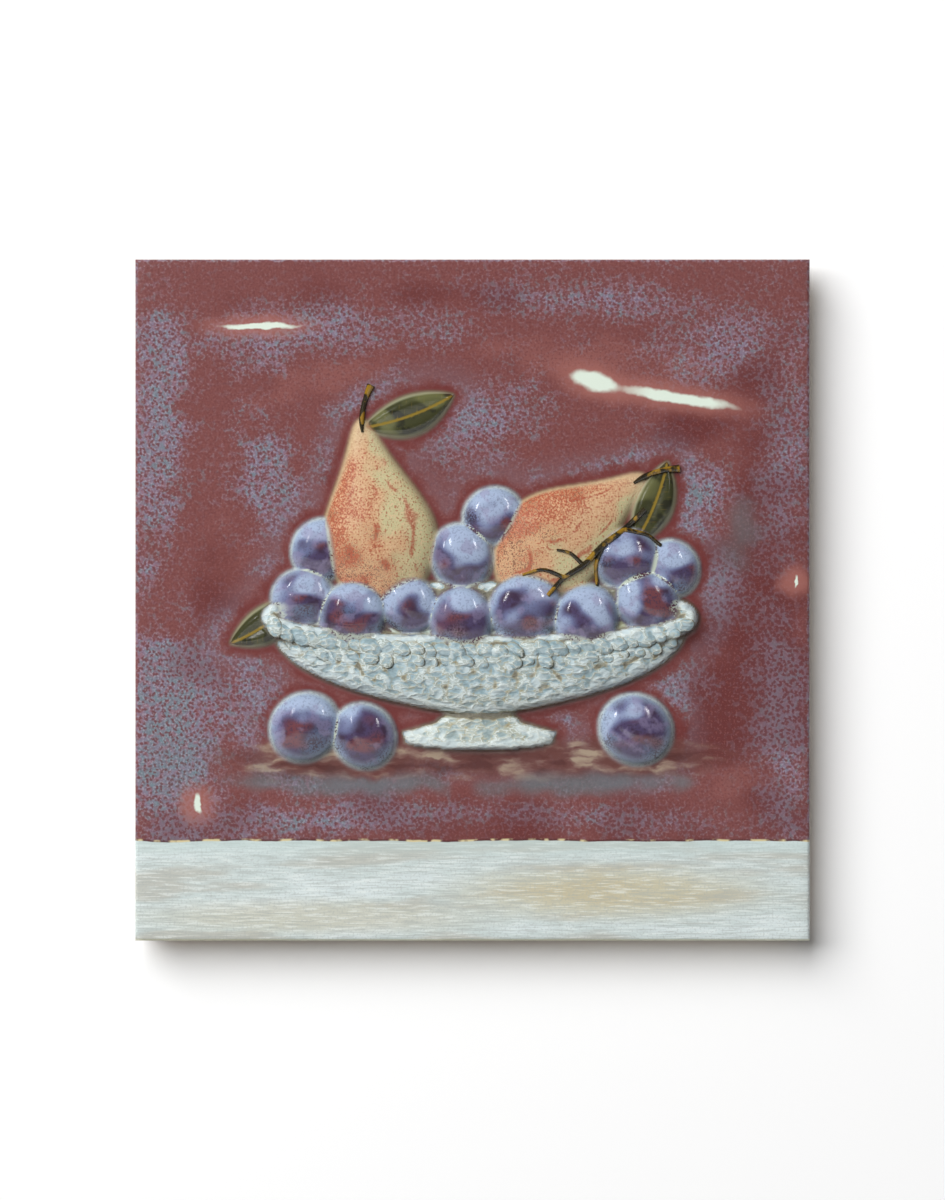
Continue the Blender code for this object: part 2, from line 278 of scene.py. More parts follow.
# Leaves, on the left pear's stalk, below the rim at the left, and behind the twig: foot of the midrib
# x and z, length, half width, lean in degrees, bend of the midrib, lift
LEAF_RELIEF = 0.0022
LEAF_VALLEY = 0.5
LEAVES = (
    (-0.051, 0.062, 0.042, 0.0090, 20.0, -0.20, 0.0010),
    (-0.080, -0.013, 0.036, 0.0082, 214.0, 0.22, 0.0012),
    (0.068, 0.010, 0.040, 0.0086, 68.0, -0.18, 0.0008),
)

# Plums: middle x and z, radius, lean of the long axis in degrees, lift
PLUM_LENGTHENING = 1.08
PLUM_RELIEF_SHARE = 0.37
PLUMS = (
    (-0.070, 0.008, 0.0132, 70.0, 0.0005),
    (0.006, 0.023, 0.0128, 30.0, 0.0004),
    (0.085, 0.000, 0.0120, 120.0, 0.0006),
    (-0.008, 0.005, 0.0140, 110.0, 0.0012),
    (0.065, 0.004, 0.0138, 20.0, 0.0014),
    (-0.078, -0.013, 0.0132, 15.0, 0.0020),
    (0.074, -0.015, 0.0138, 150.0, 0.0024),
    (-0.031, -0.016, 0.0128, 140.0, 0.0026),
    (0.020, -0.018, 0.0156, 30.0, 0.0034),
    (-0.056, -0.021, 0.0148, 60.0, 0.0036),
    (0.047, -0.022, 0.0144, 60.0, 0.0042),
    (-0.008, -0.023, 0.0142, 95.0, 0.0044),
    (-0.051, -0.074, 0.0140, 125.0, 0.0006),
    (-0.077, -0.070, 0.0150, 40.0, 0.0009),
    (0.069, -0.071, 0.0156, 150.0, 0.0007),
)
print(len(PLUMS), "plums,", len(PEARS), "pears,", len(LEAVES), "leaves and a bowl")

# %% [markdown]
# ## A grid over the face
# Wet glaze lies over everything as one skin, so the face is made as one sheet whose height is worked
# out at every crossing of a grid. The grid is fine over the fruit, where the forms are small, and
# coarse over the plain ground, which keeps the sheet under 200,000 triangles.

# %% Grid lines
FINE_CELL = 0.00078
COARSE_CELL = 0.0032
FINE_LOW = (-0.112, -0.082)
FINE_HIGH = (0.106, 0.107)
EDGE_ROUND = 0.0016


def ruler(low, fine_low, fine_high, high):
    """Grid lines from low to high, close together between fine_low and fine_high."""
    parts = ((low, fine_low, COARSE_CELL), (fine_low, fine_high, FINE_CELL),
             (fine_high, high, COARSE_CELL))
    lines = [np.linspace(a, b, max(round((b - a) / cell), 1), endpoint=False) for a, b, cell in parts]
    return np.append(np.concatenate(lines), high)


flat_x = HALF_WIDTH - EDGE_ROUND
flat_z = HALF_HEIGHT - EDGE_ROUND
lines_x = ruler(-flat_x, FINE_LOW[0], FINE_HIGH[0], flat_x)
lines_z = ruler(-flat_z, FINE_LOW[1], FINE_HIGH[1], flat_z)
X, Z = np.meshgrid(lines_x, lines_z)
GX, GZ = X - GROUP_X, Z - GROUP_Z
print("grid", X.shape, "=", X.size, "points")

# %% [markdown]
# A few helpers measure the grid: eased steps, a form's own axes, and soft random fields. The fields
# stand for what a hand does to clay and glaze: lumps, finger marks, drifts of colour.

# %% Helpers for heights
SOFT_EDGE = 0.0011
LUMP_SIZE = 0.011
FINGER_SIZE = 0.0045
DRIFT_SIZES = (0.0105, 0.0085)
FIELD_GAIN = 1.6         # brings the noise to about -1 to 1


def smooth(share):
    """Eases a share from 0 to 1."""
    share = np.clip(share, 0.0, 1.0)
    return share * share * (3.0 - 2.0 * share)


def own_axes(x, z, lean):
    """The grid measured along and across a form's own line, from the point x, z."""
    turn = math.radians(lean)
    dx, dz = GX - x, GZ - z
    return dx * math.cos(turn) + dz * math.sin(turn), dz * math.cos(turn) - dx * math.sin(turn)


def field(size_x, size_z, seed):
    """A soft random field over the grid, about -1 to 1, with lumps of the given sizes in metres."""
    places = zip((X / size_x).ravel(), (Z / size_z).ravel())
    return np.array([noise.noise((x, z, seed)) for x, z in places]).reshape(X.shape) * FIELD_GAIN


def stand(inside, lift, dome):
    """A form's height: it rises to its lift just inside its edge, and falls away outside it."""
    return np.where(inside > 0, lift * smooth(inside / SOFT_EDGE) + dome, inside)


lumps = field(LUMP_SIZE, LUMP_SIZE, 3.1)
fingers = field(FINGER_SIZE, FINGER_SIZE, 8.4)
drifts = [field(*DRIFT_SIZES, 20.3 + 7.7 * number) for number in range(4)]
print("random fields reach", round(float(abs(lumps).max()), 2), round(float(abs(fingers).max()), 2))

# %% [markdown]
# Each form carries its height and five painter's fields: how near its crown a point is, and how much
# of the form's light, warm and dark colour and of its brush strokes lie there. On the plums and pears
# the light field is painted light, and on the plums and the bowl the dark field is painted shade.


# %% What a form carries
@dataclass
class Form:
    """One modelled form over the grid, with the fields that its glazes read."""

    kind: str
    height: np.ndarray
    crown: np.ndarray
    light: np.ndarray
    warm: np.ndarray
    dark: np.ndarray
    stroke: np.ndarray


nothing = np.zeros(X.shape)
print("fields:", [name for name in Form.__dataclass_fields__ if name not in ("kind", "height")])

# %% [markdown]
# ### Plums
# A plum is a low dome with an oval outline. A shallow seam runs from end to end, pressed in with a
# tool, and the hand leaves the dome a little lumpy. A painted highlight lies towards the top, a rusty
# patch to one side and a cool painted shade below, and no two plums have them alike.

# %% Plum heights
SEAM_DEPTH = 0.00040
SEAM_HALF_WIDTH = 0.0009
SEAM_BOW = 0.30
HAND_LUMPS = 0.00018
GOLDEN = 0.618           # spreads the plums' paleness evenly
# The rest is in radii of the plum: how the washes lean, where they start and how softly they end
RAGGED_WASH = 0.9
PALENESS_SPREAD = 0.9
# The painted highlight towards the top, the rusty patch, and the cool painted shade below
HIGHLIGHT_SLANT, HIGHLIGHT_BOW, HIGHLIGHT_START, HIGHLIGHT_FADE = 0.35, 0.25, 0.15, 1.7
RUST_SIDE, RUST_LEVEL, RUST_REACH = 0.30, 0.05, 0.75
LOWER_SHADE_SLOPE, LOWER_SHADE_START, LOWER_SHADE_FADE = 0.8, 0.2, 1.4


def plum_form(number, x, z, radius, lean, lift):
    """A plum with its seam."""
    along, across = own_axes(x, z, lean)
    along, across = along / (radius * PLUM_LENGTHENING), across / radius
    reach = np.hypot(along, across)
    crown = np.sqrt(np.clip(1.0 - reach**2, 0.0, 1.0))
    seam = np.exp(-((across - SEAM_BOW * (1.0 - along**2)) * radius / SEAM_HALF_WIDTH) ** 2)
    dome = radius * PLUM_RELIEF_SHARE * crown + (HAND_LUMPS * lumps - SEAM_DEPTH * seam) * crown**2
    height = stand((1.0 - reach) * radius, lift, dome)
    paleness = (number * GOLDEN) % 1.0
    side = 1.0 if number % 2 else -1.0
    up, right = (GZ - z) / radius, (GX - x) / radius
    # The light field is a painted highlight towards the top, the dark field a cool painted shade below
    painted_highlight = up - HIGHLIGHT_SLANT * side * right + HIGHLIGHT_BOW * right**2
    light = smooth((painted_highlight + RAGGED_WASH * drifts[0] + PALENESS_SPREAD * paleness + HIGHLIGHT_START) / HIGHLIGHT_FADE)
    from_rust = np.hypot(right - RUST_SIDE * side, up - RUST_LEVEL)
    warm = smooth(RUST_REACH - from_rust + RAGGED_WASH * drifts[1])
    dark = smooth((-LOWER_SHADE_SLOPE * up + RAGGED_WASH * drifts[2] + LOWER_SHADE_START) / LOWER_SHADE_FADE)
    return Form("plum", height, crown, light, warm, dark, seam * crown)


forms = [plum_form(number, *values) for number, values in enumerate(PLUMS, start=1)]
print("highest plum stands", round(max(f.height.max() for f in forms) * 1000, 2), "mm proud")

# %% [markdown]
# ### Pears
# A pear is a turned shape laid on the slab and pressed flat: round at its base, narrow at its neck.
# Fingers dragged along it leave faint ridges. One flank is made pale by painted light, the other
# blushes, and a few brush strokes curve down along the form.

# %% Pear heights
FINGER_RIDGES = 0.00014
STROKE_PLACES = (-0.62, 0.05, 0.55)
STROKE_WIDTH = 0.075
STROKE_WANDER = 0.16
# Slope across the pear, share of the random drift, start, and for the last two how softly it ends
LIT_FLANK_SLOPE, LIT_FLANK_DRIFT, LIT_FLANK_START = 0.85, 0.45, 0.15
BLUSH_SLOPE, BLUSH_DRIFT, BLUSH_START, BLUSH_FADE = 0.9, 0.55, 0.25, 1.1
BASE_SLOPE, BASE_DRIFT, BASE_REACH, BASE_FADE = 0.25, 0.25, 0.42, 0.4


def pear_radius(share):
    """The pear's radius as a share of its greatest width, from its base at 0 to its tip at 1."""
    neck = 1.0 - PEAR_NECK * smooth((share - PEAR_NECK_START) / PEAR_NECK_RUN)
    return np.clip(np.sin(math.pi * share), 0.0, 1.0) ** PEAR_SHOULDER * neck


def pear_form(x, z, length, radius, lean, lift, relief):
    """A pear lying along its core line."""
    along, across = own_axes(x, z, lean)
    share = np.clip(along / length, 0.0, 1.0)
    reach = np.maximum(pear_radius(share), 0.02)
    across_share = across / (radius * reach)
    crown = reach * np.sqrt(np.clip(1.0 - across_share**2, 0.0, 1.0))
    beyond = np.maximum(-along, along - length)
    inside = np.minimum(radius * reach - abs(across), np.where(beyond > 0, -beyond, 1.0))
    dome = relief * crown + FINGER_RIDGES * (fingers + lumps) * crown
    # The light field is painted light, which turns one flank pale
    light = smooth(-LIT_FLANK_SLOPE * across_share + LIT_FLANK_DRIFT * drifts[3] + LIT_FLANK_START)
    warm = smooth((BLUSH_SLOPE * across_share + BLUSH_DRIFT * drifts[0] + BLUSH_START) / BLUSH_FADE)
    dark = smooth((BASE_REACH - share + BASE_SLOPE * across_share + BASE_DRIFT * drifts[1]) / BASE_FADE)
    wandering_line = across_share + STROKE_WANDER * drifts[2]
    strokes = sum(np.exp(-((wandering_line - middle) / STROKE_WIDTH) ** 2) for middle in STROKE_PLACES)
    strokes = strokes * smooth((drifts[1] + 0.25) / 0.6)
    return Form("pear", stand(inside, lift, dome), crown, light, warm, dark, strokes)


forms += [pear_form(*values) for _, *values in PEARS]
print("the pears stand", round(max(f.height.max() for f in forms[-2:]) * 1000, 2), "mm proud")

# %% [markdown]
# ### Leaves
# A leaf is a pointed oval whose two halves rise from a valley along a bent midrib, with side veins
# scored in. It is thin, so most of what shows is its outline and the ochre of its veins.

# %% Leaf heights
SIDE_VEINS = 7
VEIN_DEPTH = 0.00030
VEIN_SLANT = 0.55
VEIN_SHARPNESS = 8
VEIN_COLOUR = 0.45       # strength of a side vein's colour beside the midrib's
MIDRIB_HALF_WIDTH = 0.0007
THINNEST_LEAF = 0.0004
LEAF_FULLNESS = 0.8
# Height of the half leaf from its midrib out to its edge
LEAF_SECTION = ((0.0, 0.1, 0.55, 0.9, 1.0), (LEAF_VALLEY * 0.7, 0.62, 1.0, 0.55, 0.0))


def leaf_form(x, z, length, half_width, lean, bend, lift):
    """A leaf with a bent midrib and scored side veins."""
    along, across = own_axes(x, z, lean)
    share = np.clip(along / length, 0.0, 1.0)
    wide = np.maximum(half_width * np.sin(math.pi * share) ** LEAF_FULLNESS, THINNEST_LEAF)
    across = across - length * bend * share * (1.0 - share)
    side = np.clip(across / wide, -1.5, 1.5)
    rise = np.interp(abs(side), *LEAF_SECTION)
    vein = np.cos(2 * math.pi * SIDE_VEINS * (share - VEIN_SLANT * abs(across) / length)) ** VEIN_SHARPNESS
    dome = (LEAF_RELIEF * rise - VEIN_DEPTH * vein * rise) * wide / half_width
    beyond = np.maximum(-along, along - length)
    inside = np.minimum(wide - abs(across), np.where(beyond > 0, -beyond, 1.0))
    crown = np.clip(1.0 - abs(side), 0.0, 1.0)
    midrib = np.exp(-((across / MIDRIB_HALF_WIDTH) ** 2))
    strokes = np.maximum(midrib, VEIN_COLOUR * vein * smooth(crown / 0.3))
    light = smooth((drifts[1] + 0.3) / 0.9)
    return Form("leaf", stand(inside, lift, dome), crown, light, nothing, nothing, strokes)


forms += [leaf_form(*values) for values in LEAVES]
print("forms so far:", len(forms))

# %% [markdown]
# ### The bowl
# The bowl is a turned shape seen a little from above, so a point of the face has to be traced back to
# a level and a turn on the bowl. Each column of the grid cuts the wall in one curve, and reading that
# curve backwards gives the level. The wall has upright lobes, called gadroons.

# %% Bowl profile
PROFILE_STEPS = 160
WAIST_FLARE = 0.25       # how far the stem has opened at its waist, as a share of the whole flare
FOOT_UNDERCUT = 0.96     # radius under the foot's edge, as a share of the foot's radius
MOST_HIDDEN = 0.9        # keeps part of every level in view, however much the wall flares


def bowl_profiles():
    """Levels and radii of the foot and of the body, each from its bottom up."""
    foot_top = BOWL_FOOT_LEVEL + BOWL_FOOT_EDGE
    waist = (foot_top + BOWL_STEM_LEVEL) / 2
    waist_radius = BOWL_STEM_RADIUS + WAIST_FLARE * (BOWL_FOOT_RADIUS - BOWL_STEM_RADIUS)
    foot_levels = np.linspace(BOWL_FOOT_LEVEL, BOWL_STEM_LEVEL, PROFILE_STEPS)
    corner_levels = (BOWL_FOOT_LEVEL, foot_top, waist, BOWL_STEM_LEVEL)
    corner_radii = (BOWL_FOOT_RADIUS * FOOT_UNDERCUT, BOWL_FOOT_RADIUS, waist_radius, BOWL_STEM_RADIUS)
    foot = np.interp(foot_levels, corner_levels, corner_radii)
    share = np.linspace(0.0, 1.0, PROFILE_STEPS)
    body_levels = BOWL_STEM_LEVEL + share * (BOWL_RIM_LEVEL - BOWL_STEM_LEVEL)
    body = BOWL_STEM_RADIUS + (1.0 - (1.0 - share) ** BOWL_SWELL) * (BOWL_RIM_RADIUS - BOWL_STEM_RADIUS)
    return (foot_levels, foot), (body_levels, body)


foot_profile, body_profile = bowl_profiles()
all_levels = np.concatenate([foot_profile[0], body_profile[0][1:]])
all_radii = np.concatenate([foot_profile[1], body_profile[1][1:]])
flares = np.gradient(all_radii, all_levels)
first_sines = np.clip(VIEW_TILT * flares, 0.0, MOST_HIDDEN)
contour_x = all_radii * np.sqrt(1.0 - first_sines**2)
contour_z = all_levels - VIEW_TILT * all_radii * first_sines
print("bowl from", round(float(contour_z.min()) * 1000), "to", round(float(contour_z.max()) * 1000), "mm")


# %% Where the grid meets the bowl's wall
def bowl_levels():
    """The level on the bowl of each grid point that lies on its wall, and not a number elsewhere."""
    found = np.full(X.shape, np.nan)
    for column, x in enumerate(GX[0]):
        for levels, radii in (foot_profile, body_profile):
            keep = radii > abs(x)
            if keep.sum() < 2:
                continue
            seen_at = levels[keep] - VIEW_TILT * np.sqrt(radii[keep] ** 2 - x * x)
            start = int(np.argmin(seen_at))
            rows = (GZ[:, column] >= seen_at[start]) & (GZ[:, column] <= seen_at[-1])
            found[rows, column] = np.interp(GZ[rows, column], seen_at[start:], levels[keep][start:])
    return found


wall_level = bowl_levels()
on_wall = ~np.isnan(wall_level)
level = np.where(on_wall, wall_level, BOWL_RIM_LEVEL)
radius_here = np.interp(level, all_levels, all_radii)
first_here = np.interp(level, all_levels, first_sines)
sine = np.sqrt(np.clip(1.0 - (GX / radius_here) ** 2, 0.0, 1.0))
front = np.clip((sine - first_here) / (1.0 - first_here), 0.0, 1.0)
first_swing = np.arcsin(first_here)
swing = np.arccos(np.clip(-GX / radius_here, -1.0, 1.0))
wall_turn = np.clip((swing - first_swing) / (math.pi - 2 * first_swing), 0.0, 1.0)
fluted = np.clip((level - BOWL_STEM_LEVEL) / (BOWL_RIM_LEVEL - BOWL_STEM_LEVEL), 0.0, 1.0)
lobe = abs(np.sin(math.pi * GADROONS * wall_turn))
print("grid points on the bowl's wall:", int(on_wall.sum()))

# %% [markdown]
# The white slip was laid on thick, dab by dab, with a knife and fingers, so the wall is covered in
# overlapping scales. Seeded points stand for the dabs. The nearest one gives each grid point its
# dab, the distance to the second nearest gives the lip between two dabs, and each dab slopes its
# own way, so that one lies over the next.

# %% Slip dabs on the wall
DAB_SPACING = 0.0068
DAB_HEIGHT = 0.00055
DAB_SLOPE = 0.13
LIP_WIDTH = 0.0013
DAB_SEED = 11
DAB_ROW_STEP = 0.8       # distance between rows, as a share of the spacing
DAB_SCATTER = 0.3        # how far a dab strays, as a share of the spacing
DAB_CROOKED = 0.0012
DAB_MARGIN = 0.012
DAB_HALF_HEIGHT = 0.045


def dab_field():
    """Height of the slip dabs, and how near each point is to a lip between two dabs."""
    random = np.random.default_rng(DAB_SEED)
    half_x, half_z = BOWL_RIM_RADIUS + DAB_MARGIN, DAB_HALF_HEIGHT
    middle_z = (BOWL_RIM_LEVEL + BOWL_FOOT_LEVEL) / 2
    dabs = []
    for row, z in enumerate(np.arange(middle_z - half_z, middle_z + half_z, DAB_SPACING * DAB_ROW_STEP)):
        for x in np.arange(-half_x, half_x, DAB_SPACING) + (row % 2) * DAB_SPACING / 2:
            stray_x = random.uniform(-DAB_SCATTER, DAB_SCATTER) * DAB_SPACING
            stray_z = random.uniform(-DAB_SCATTER, DAB_SCATTER) * DAB_SPACING
            dabs.append((x + stray_x, z + stray_z))
    slopes = random.uniform(-1.0, 1.0, (len(dabs), 2)) * DAB_SLOPE
    tree = kdtree.KDTree(len(dabs))
    for index, (x, z) in enumerate(dabs):
        tree.insert((x, z, 0.0), index)
    tree.balance()
    height, lip = np.zeros(X.shape), np.zeros(X.shape)
    near = (abs(GX) < half_x) & (abs(GZ - middle_z) < half_z)
    bend_x, bend_z = GX + DAB_CROOKED * fingers, GZ + DAB_CROOKED * lumps
    for row, column in zip(*np.nonzero(near)):
        x, z = bend_x[row, column], bend_z[row, column]
        (first, index, first_away), (_, _, second_away) = tree.find_n((x, z, 0.0), 2)
        edge = min((second_away - first_away) / LIP_WIDTH, 1.0)
        tilt = (x - first.x) * slopes[index][0] + (z - first.y) * slopes[index][1]
        height[row, column] = DAB_HEIGHT * (edge * (2.0 - edge)) + tilt
        lip[row, column] = 1.0 - edge
    return height, lip


slip, slip_lip = dab_field()
print("slip dabs reach", round(float(slip.max()) * 1000, 2), "mm")

# %% Bowl wall heights
SLIP_AT_STEM, SLIP_GROWTH = 0.45, 0.55
GADROON_SHOWS = 0.8      # the share of the lobes' depth that the slip leaves
WALL_EDGE = 0.0002
GROOVE_SHARPNESS = 0.4
LOW_WALL_TOP, LOW_WALL_FADE = 0.75, 0.6
thick_slip = np.minimum(front * 4, 1.0) * (SLIP_AT_STEM + SLIP_GROWTH * fluted)
dome = BOWL_RELIEF * (radius_here / BOWL_RIM_RADIUS) ** BOWL_SHALLOWING * front
dome = dome + GADROON_DEPTH * GADROON_SHOWS * fluted * lobe * front + slip * thick_slip
foot_drop = VIEW_TILT * BOWL_FOOT_RADIUS
foot_front = BOWL_FOOT_RADIUS * np.sqrt(np.clip(1.0 - ((contour_z[0] - GZ) / foot_drop) ** 2, 0, 1))
outer_x = np.where(GZ < contour_z[0], foot_front, np.interp(GZ, contour_z, contour_x))
slope = np.gradient(np.interp(lines_z - GROUP_Z, contour_z, contour_x), lines_z)[:, None]
sideways = (outer_x - abs(GX)) / np.sqrt(1.0 + slope**2)
below_foot = contour_z[0] - foot_drop - GZ
above_rim = GZ - (BOWL_RIM_LEVEL - VIEW_TILT * np.sqrt(np.clip(BOWL_RIM_RADIUS**2 - GX**2, 0.0, 1.0)))
inside = np.minimum(sideways, np.minimum(-below_foot, -above_rim))
inside = np.where(on_wall, np.maximum(inside, WALL_EDGE), np.minimum(inside, -WALL_EDGE))
bowl_height = stand(inside, BOWL_LIFT, dome)
groove_lines = 1.0 - lobe**GROOVE_SHARPNESS
low_wall = smooth((LOW_WALL_TOP - fluted) / LOW_WALL_FADE)
# The grooves between the gadroons are the bowl's dark field: a painted shade
forms.append(Form("bowl", bowl_height, np.clip(front * 1.5, 0, 1), smooth(drifts[0] + 0.4), low_wall,
                  groove_lines * fluted, slip_lip))
print("bowl's wall stands", round(float(bowl_height.max()) * 1000, 2), "mm proud")

# %% [markdown]
# The rim is a roll of slip pinched all round, like the edge of a pie. It is an oval ring, so each grid
# point near it is matched to the nearest point of the ring's middle line. The inside of the bowl
# shows behind the fruit as a shallow white well.

# %% Rim and well heights
RIM_STEPS = 720
RIM_SEARCH = 0.02        # how far round the ring the grid points are matched to it
BEYOND_SEARCH = 0.05
PINCH_DEPTH = 0.20
RIM_NARROWEST, RIM_UNEVEN = 0.94, 0.12
RIM_SLIP = 0.8
WELL_MARKS = 0.0003


def rim_form():
    """The pinched rim of the bowl."""
    turn = np.linspace(0.0, 2 * math.pi, RIM_STEPS, endpoint=False)
    ring_x = BOWL_RIM_RADIUS * np.cos(turn)
    rim_drop = VIEW_TILT * BOWL_RIM_RADIUS
    ring_z = BOWL_RIM_LEVEL + rim_drop * np.sin(turn)
    ring = kdtree.KDTree(RIM_STEPS)
    for index, (x, z) in enumerate(zip(ring_x, ring_z)):
        ring.insert((x, z, 0.0), index)
    ring.balance()
    near = (abs(GX) < BOWL_RIM_RADIUS + RIM_SEARCH) & (abs(GZ - BOWL_RIM_LEVEL) < rim_drop + RIM_SEARCH)
    away, angle = np.full(X.shape, BEYOND_SEARCH), np.zeros(X.shape)
    for row, column in zip(*np.nonzero(near)):
        _, index, away[row, column] = ring.find((GX[row, column], GZ[row, column], 0.0))
        angle[row, column] = turn[index]
    pinch = 1.0 - PINCH_DEPTH * (1.0 + np.cos(RIM_PINCHES * angle)) / 2
    across = away / (RIM_HALF_WIDTH * (RIM_NARROWEST + RIM_UNEVEN * lumps))
    round_top = np.sqrt(np.clip(1.0 - across**2, 0.0, 1.0))
    lift = RIM_BACK_LIFT + (RIM_FRONT_LIFT - RIM_BACK_LIFT) * (1.0 - np.sin(angle)) / 2
    height = stand((1.0 - across) * RIM_HALF_WIDTH, lift, (RIM_ROLL * pinch + slip * RIM_SLIP) * round_top)
    # The dips between the pinches are the rim's dark field: a painted shade
    in_pinches = smooth(1.6 - 1.7 * pinch)
    return Form("bowl", height, round_top, smooth(drifts[2] + 0.7), nothing, in_pinches, slip_lip)


def well_form():
    """The inside of the bowl, behind the fruit."""
    half = BOWL_RIM_RADIUS
    reach = np.hypot(GX / half, (GZ - BOWL_RIM_LEVEL) / (half * VIEW_TILT))
    crown = np.clip((1.0 - reach) * 3, 0.0, 1.0)
    height = stand((1.0 - reach) * half * VIEW_TILT, WELL_LIFT, (WELL_RELIEF + WELL_MARKS * fingers) * crown)
    return Form("well", height, crown, smooth(drifts[3] + 0.5), nothing, smooth(drifts[1] * 2), nothing)


forms += [rim_form(), well_form()]
print(len(forms), "forms; the rim stands", round(float(forms[-2].height.max()) * 1000, 2), "mm proud")

# %% [markdown]
# ### The ground's washes
# The ground is a thin wash of glaze, so it has hardly any height, but it has the same five fields.
# Its light is the second, lavender glaze, laid in broad ovals that grow denser towards some edges.
# Its warm is a salmon smear, its dark a deep red, and its strokes are teal.

# %% Ground
GROUND_WAVES = 0.00012
OVAL_EDGE, OVAL_FADE = 1.6, 1.4      # in half lengths: where an oval ends, and how softly


def ovals(places, ragged, drift):
    """How far each point lies inside any of the ovals, from 0 outside to each oval's strength."""
    total = np.zeros(X.shape)
    for x, z, half_length, half_width, lean, strength in places:
        along, across = own_axes(x - GROUP_X, z - GROUP_Z, lean)
        reach = np.hypot(along / half_length, across / half_width) + ragged * drift
        total = np.maximum(total, strength * smooth((OVAL_EDGE - reach) / OVAL_FADE))
    return total


# Places on the slab x and z, half length, half width, lean, strength
LAVENDER = (
    (-0.139, 0.070, 0.070, 0.014, 88.0, 0.85), (-0.134, -0.055, 0.052, 0.024, 96.0, 1.00),
    (0.138, 0.060, 0.060, 0.013, 84.0, 0.64), (0.136, -0.056, 0.050, 0.015, 92.0, 0.74),
    (-0.078, 0.118, 0.046, 0.013, 10.0, 0.75), (0.050, 0.134, 0.056, 0.010, -5.0, 0.60),
    (0.108, 0.112, 0.030, 0.016, 30.0, 0.65), (0.010, 0.079, 0.026, 0.015, 24.0, 0.70),
    (-0.094, 0.058, 0.017, 0.024, 12.0, 0.80), (0.104, 0.046, 0.018, 0.014, 60.0, 0.72),
    (-0.060, -0.097, 0.080, 0.009, 2.0, 0.80), (0.062, -0.097, 0.060, 0.007, -3.0, 0.60),
    (-0.104, -0.048, 0.020, 0.016, 40.0, 0.70), (0.112, 0.004, 0.016, 0.016, 90.0, 0.52),
    (0.090, -0.040, 0.018, 0.010, 20.0, 0.48), (-0.022, 0.122, 0.024, 0.009, -12.0, 0.50),
)
SALMON = ((0.062, 0.104, 0.052, 0.011, -6.0, 0.85), (-0.070, 0.097, 0.034, 0.008, 12.0, 0.75),
          (-0.108, 0.020, 0.012, 0.024, 4.0, 0.6), (0.118, -0.080, 0.022, 0.008, 0.0, 0.6),
          (0.020, 0.112, 0.030, 0.006, 6.0, 0.55))
DEEP_RED = ((0.100, 0.078, 0.026, 0.012, 14.0, 0.8), (-0.020, 0.136, 0.060, 0.007, 2.0, 0.6),
            (-0.118, -0.004, 0.014, 0.026, 0.0, 0.65), (0.030, -0.103, 0.050, 0.005, 0.0, 0.8),
            (0.094, -0.062, 0.020, 0.010, -8.0, 0.65), (-0.052, -0.054, 0.018, 0.007, -20.0, 0.8),
            (0.126, -0.010, 0.090, 0.030, 90.0, 0.85), (0.010, -0.100, 0.125, 0.014, 0.0, 0.70))
# The first two teal strokes lie under the bowl, as part of its painted shadow
TEAL_STROKES = ((-0.060, -0.0800, 0.052, 0.0070, -2.0, 1.0), (0.050, -0.0810, 0.050, 0.0066, 2.0, 0.9),
                (0.118, 0.030, 0.009, 0.022, -10.0, 0.6), (-0.128, -0.074, 0.020, 0.014, 30.0, 0.6))
broad = field(0.030, 0.022, 41.0)
ragged = field(0.011, 0.009, 52.0)
lavender = 0.05 + ovals(LAVENDER, 0.60, broad + 0.6 * ragged) + 0.16 * broad + 0.08 * ragged
salmon = ovals(SALMON, 0.4, ragged) + 0.22 * broad
deep_red = ovals(DEEP_RED, 0.5, broad) - 0.25 * broad
forms.append(Form("ground", GROUND_WAVES * (broad + 0.4 * ragged), nothing, np.clip(lavender, 0.0, 1.1),
                  np.clip(salmon, 0, 1), np.clip(deep_red, 0, 1), ovals(TEAL_STROKES, 0.35, ragged)))
print("lavender glaze covers", round(float((lavender > 0.5).mean()) * 100), "% of the grid points densely")

# %% [markdown]
# ## Melting the forms together
# Where two forms meet, slip and glaze fill the corner. A soft maximum does the same: it follows the
# higher form and rounds the valley between two equal ones. The same sums say how much of each form
# shows at a point, how deep the point lies in a joint, and how far the bare ground is from the fruit.

# %% Soft maximum and masks
JOINT_ROUND = 0.00022
MASK_SHARPNESS = 0.00022
POOL_REACH = 0.0013
HOLLOW_SIZE = 0.00008


def blurred(values, times=1):
    """The values with each point eased towards its neighbours."""
    for _ in range(times):
        wide = np.pad(values, 1, mode="edge")
        rows = (wide[:-2] + 2 * wide[1:-1] + wide[2:]) / 4
        values = (rows[:, :-2] + 2 * rows[:, 1:-1] + rows[:, 2:]) / 4
    return values


layers = np.stack([form.height for form in forms])
top = layers.max(axis=0)
skin_height = top + JOINT_ROUND * np.log(np.exp((layers - top) / JOINT_ROUND).sum(axis=0))
shows = np.exp((layers - top) / MASK_SHARPNESS)
shows = np.stack([blurred(share) for share in shows / shows.sum(axis=0)])
two_highest = np.partition(layers, -2, axis=0)[-2:]
joint = np.exp(-(two_highest[1] - two_highest[0]) / POOL_REACH) * (1.0 - shows[-1])
skin_height = blurred(skin_height, 2)
hollow = np.clip((blurred(skin_height, 4) - skin_height) / HOLLOW_SIZE, -1.5, 1.5)
print("relief", round(float(skin_height.max()) * 1000, 2), "mm, solid's relief",
      round((FACE_Y - cad_low.y) * 1000, 2), "mm")


# %% Distance from the fruit, in millimetres
FARTHEST = 30.0
proud = layers[:-1].max(axis=0)


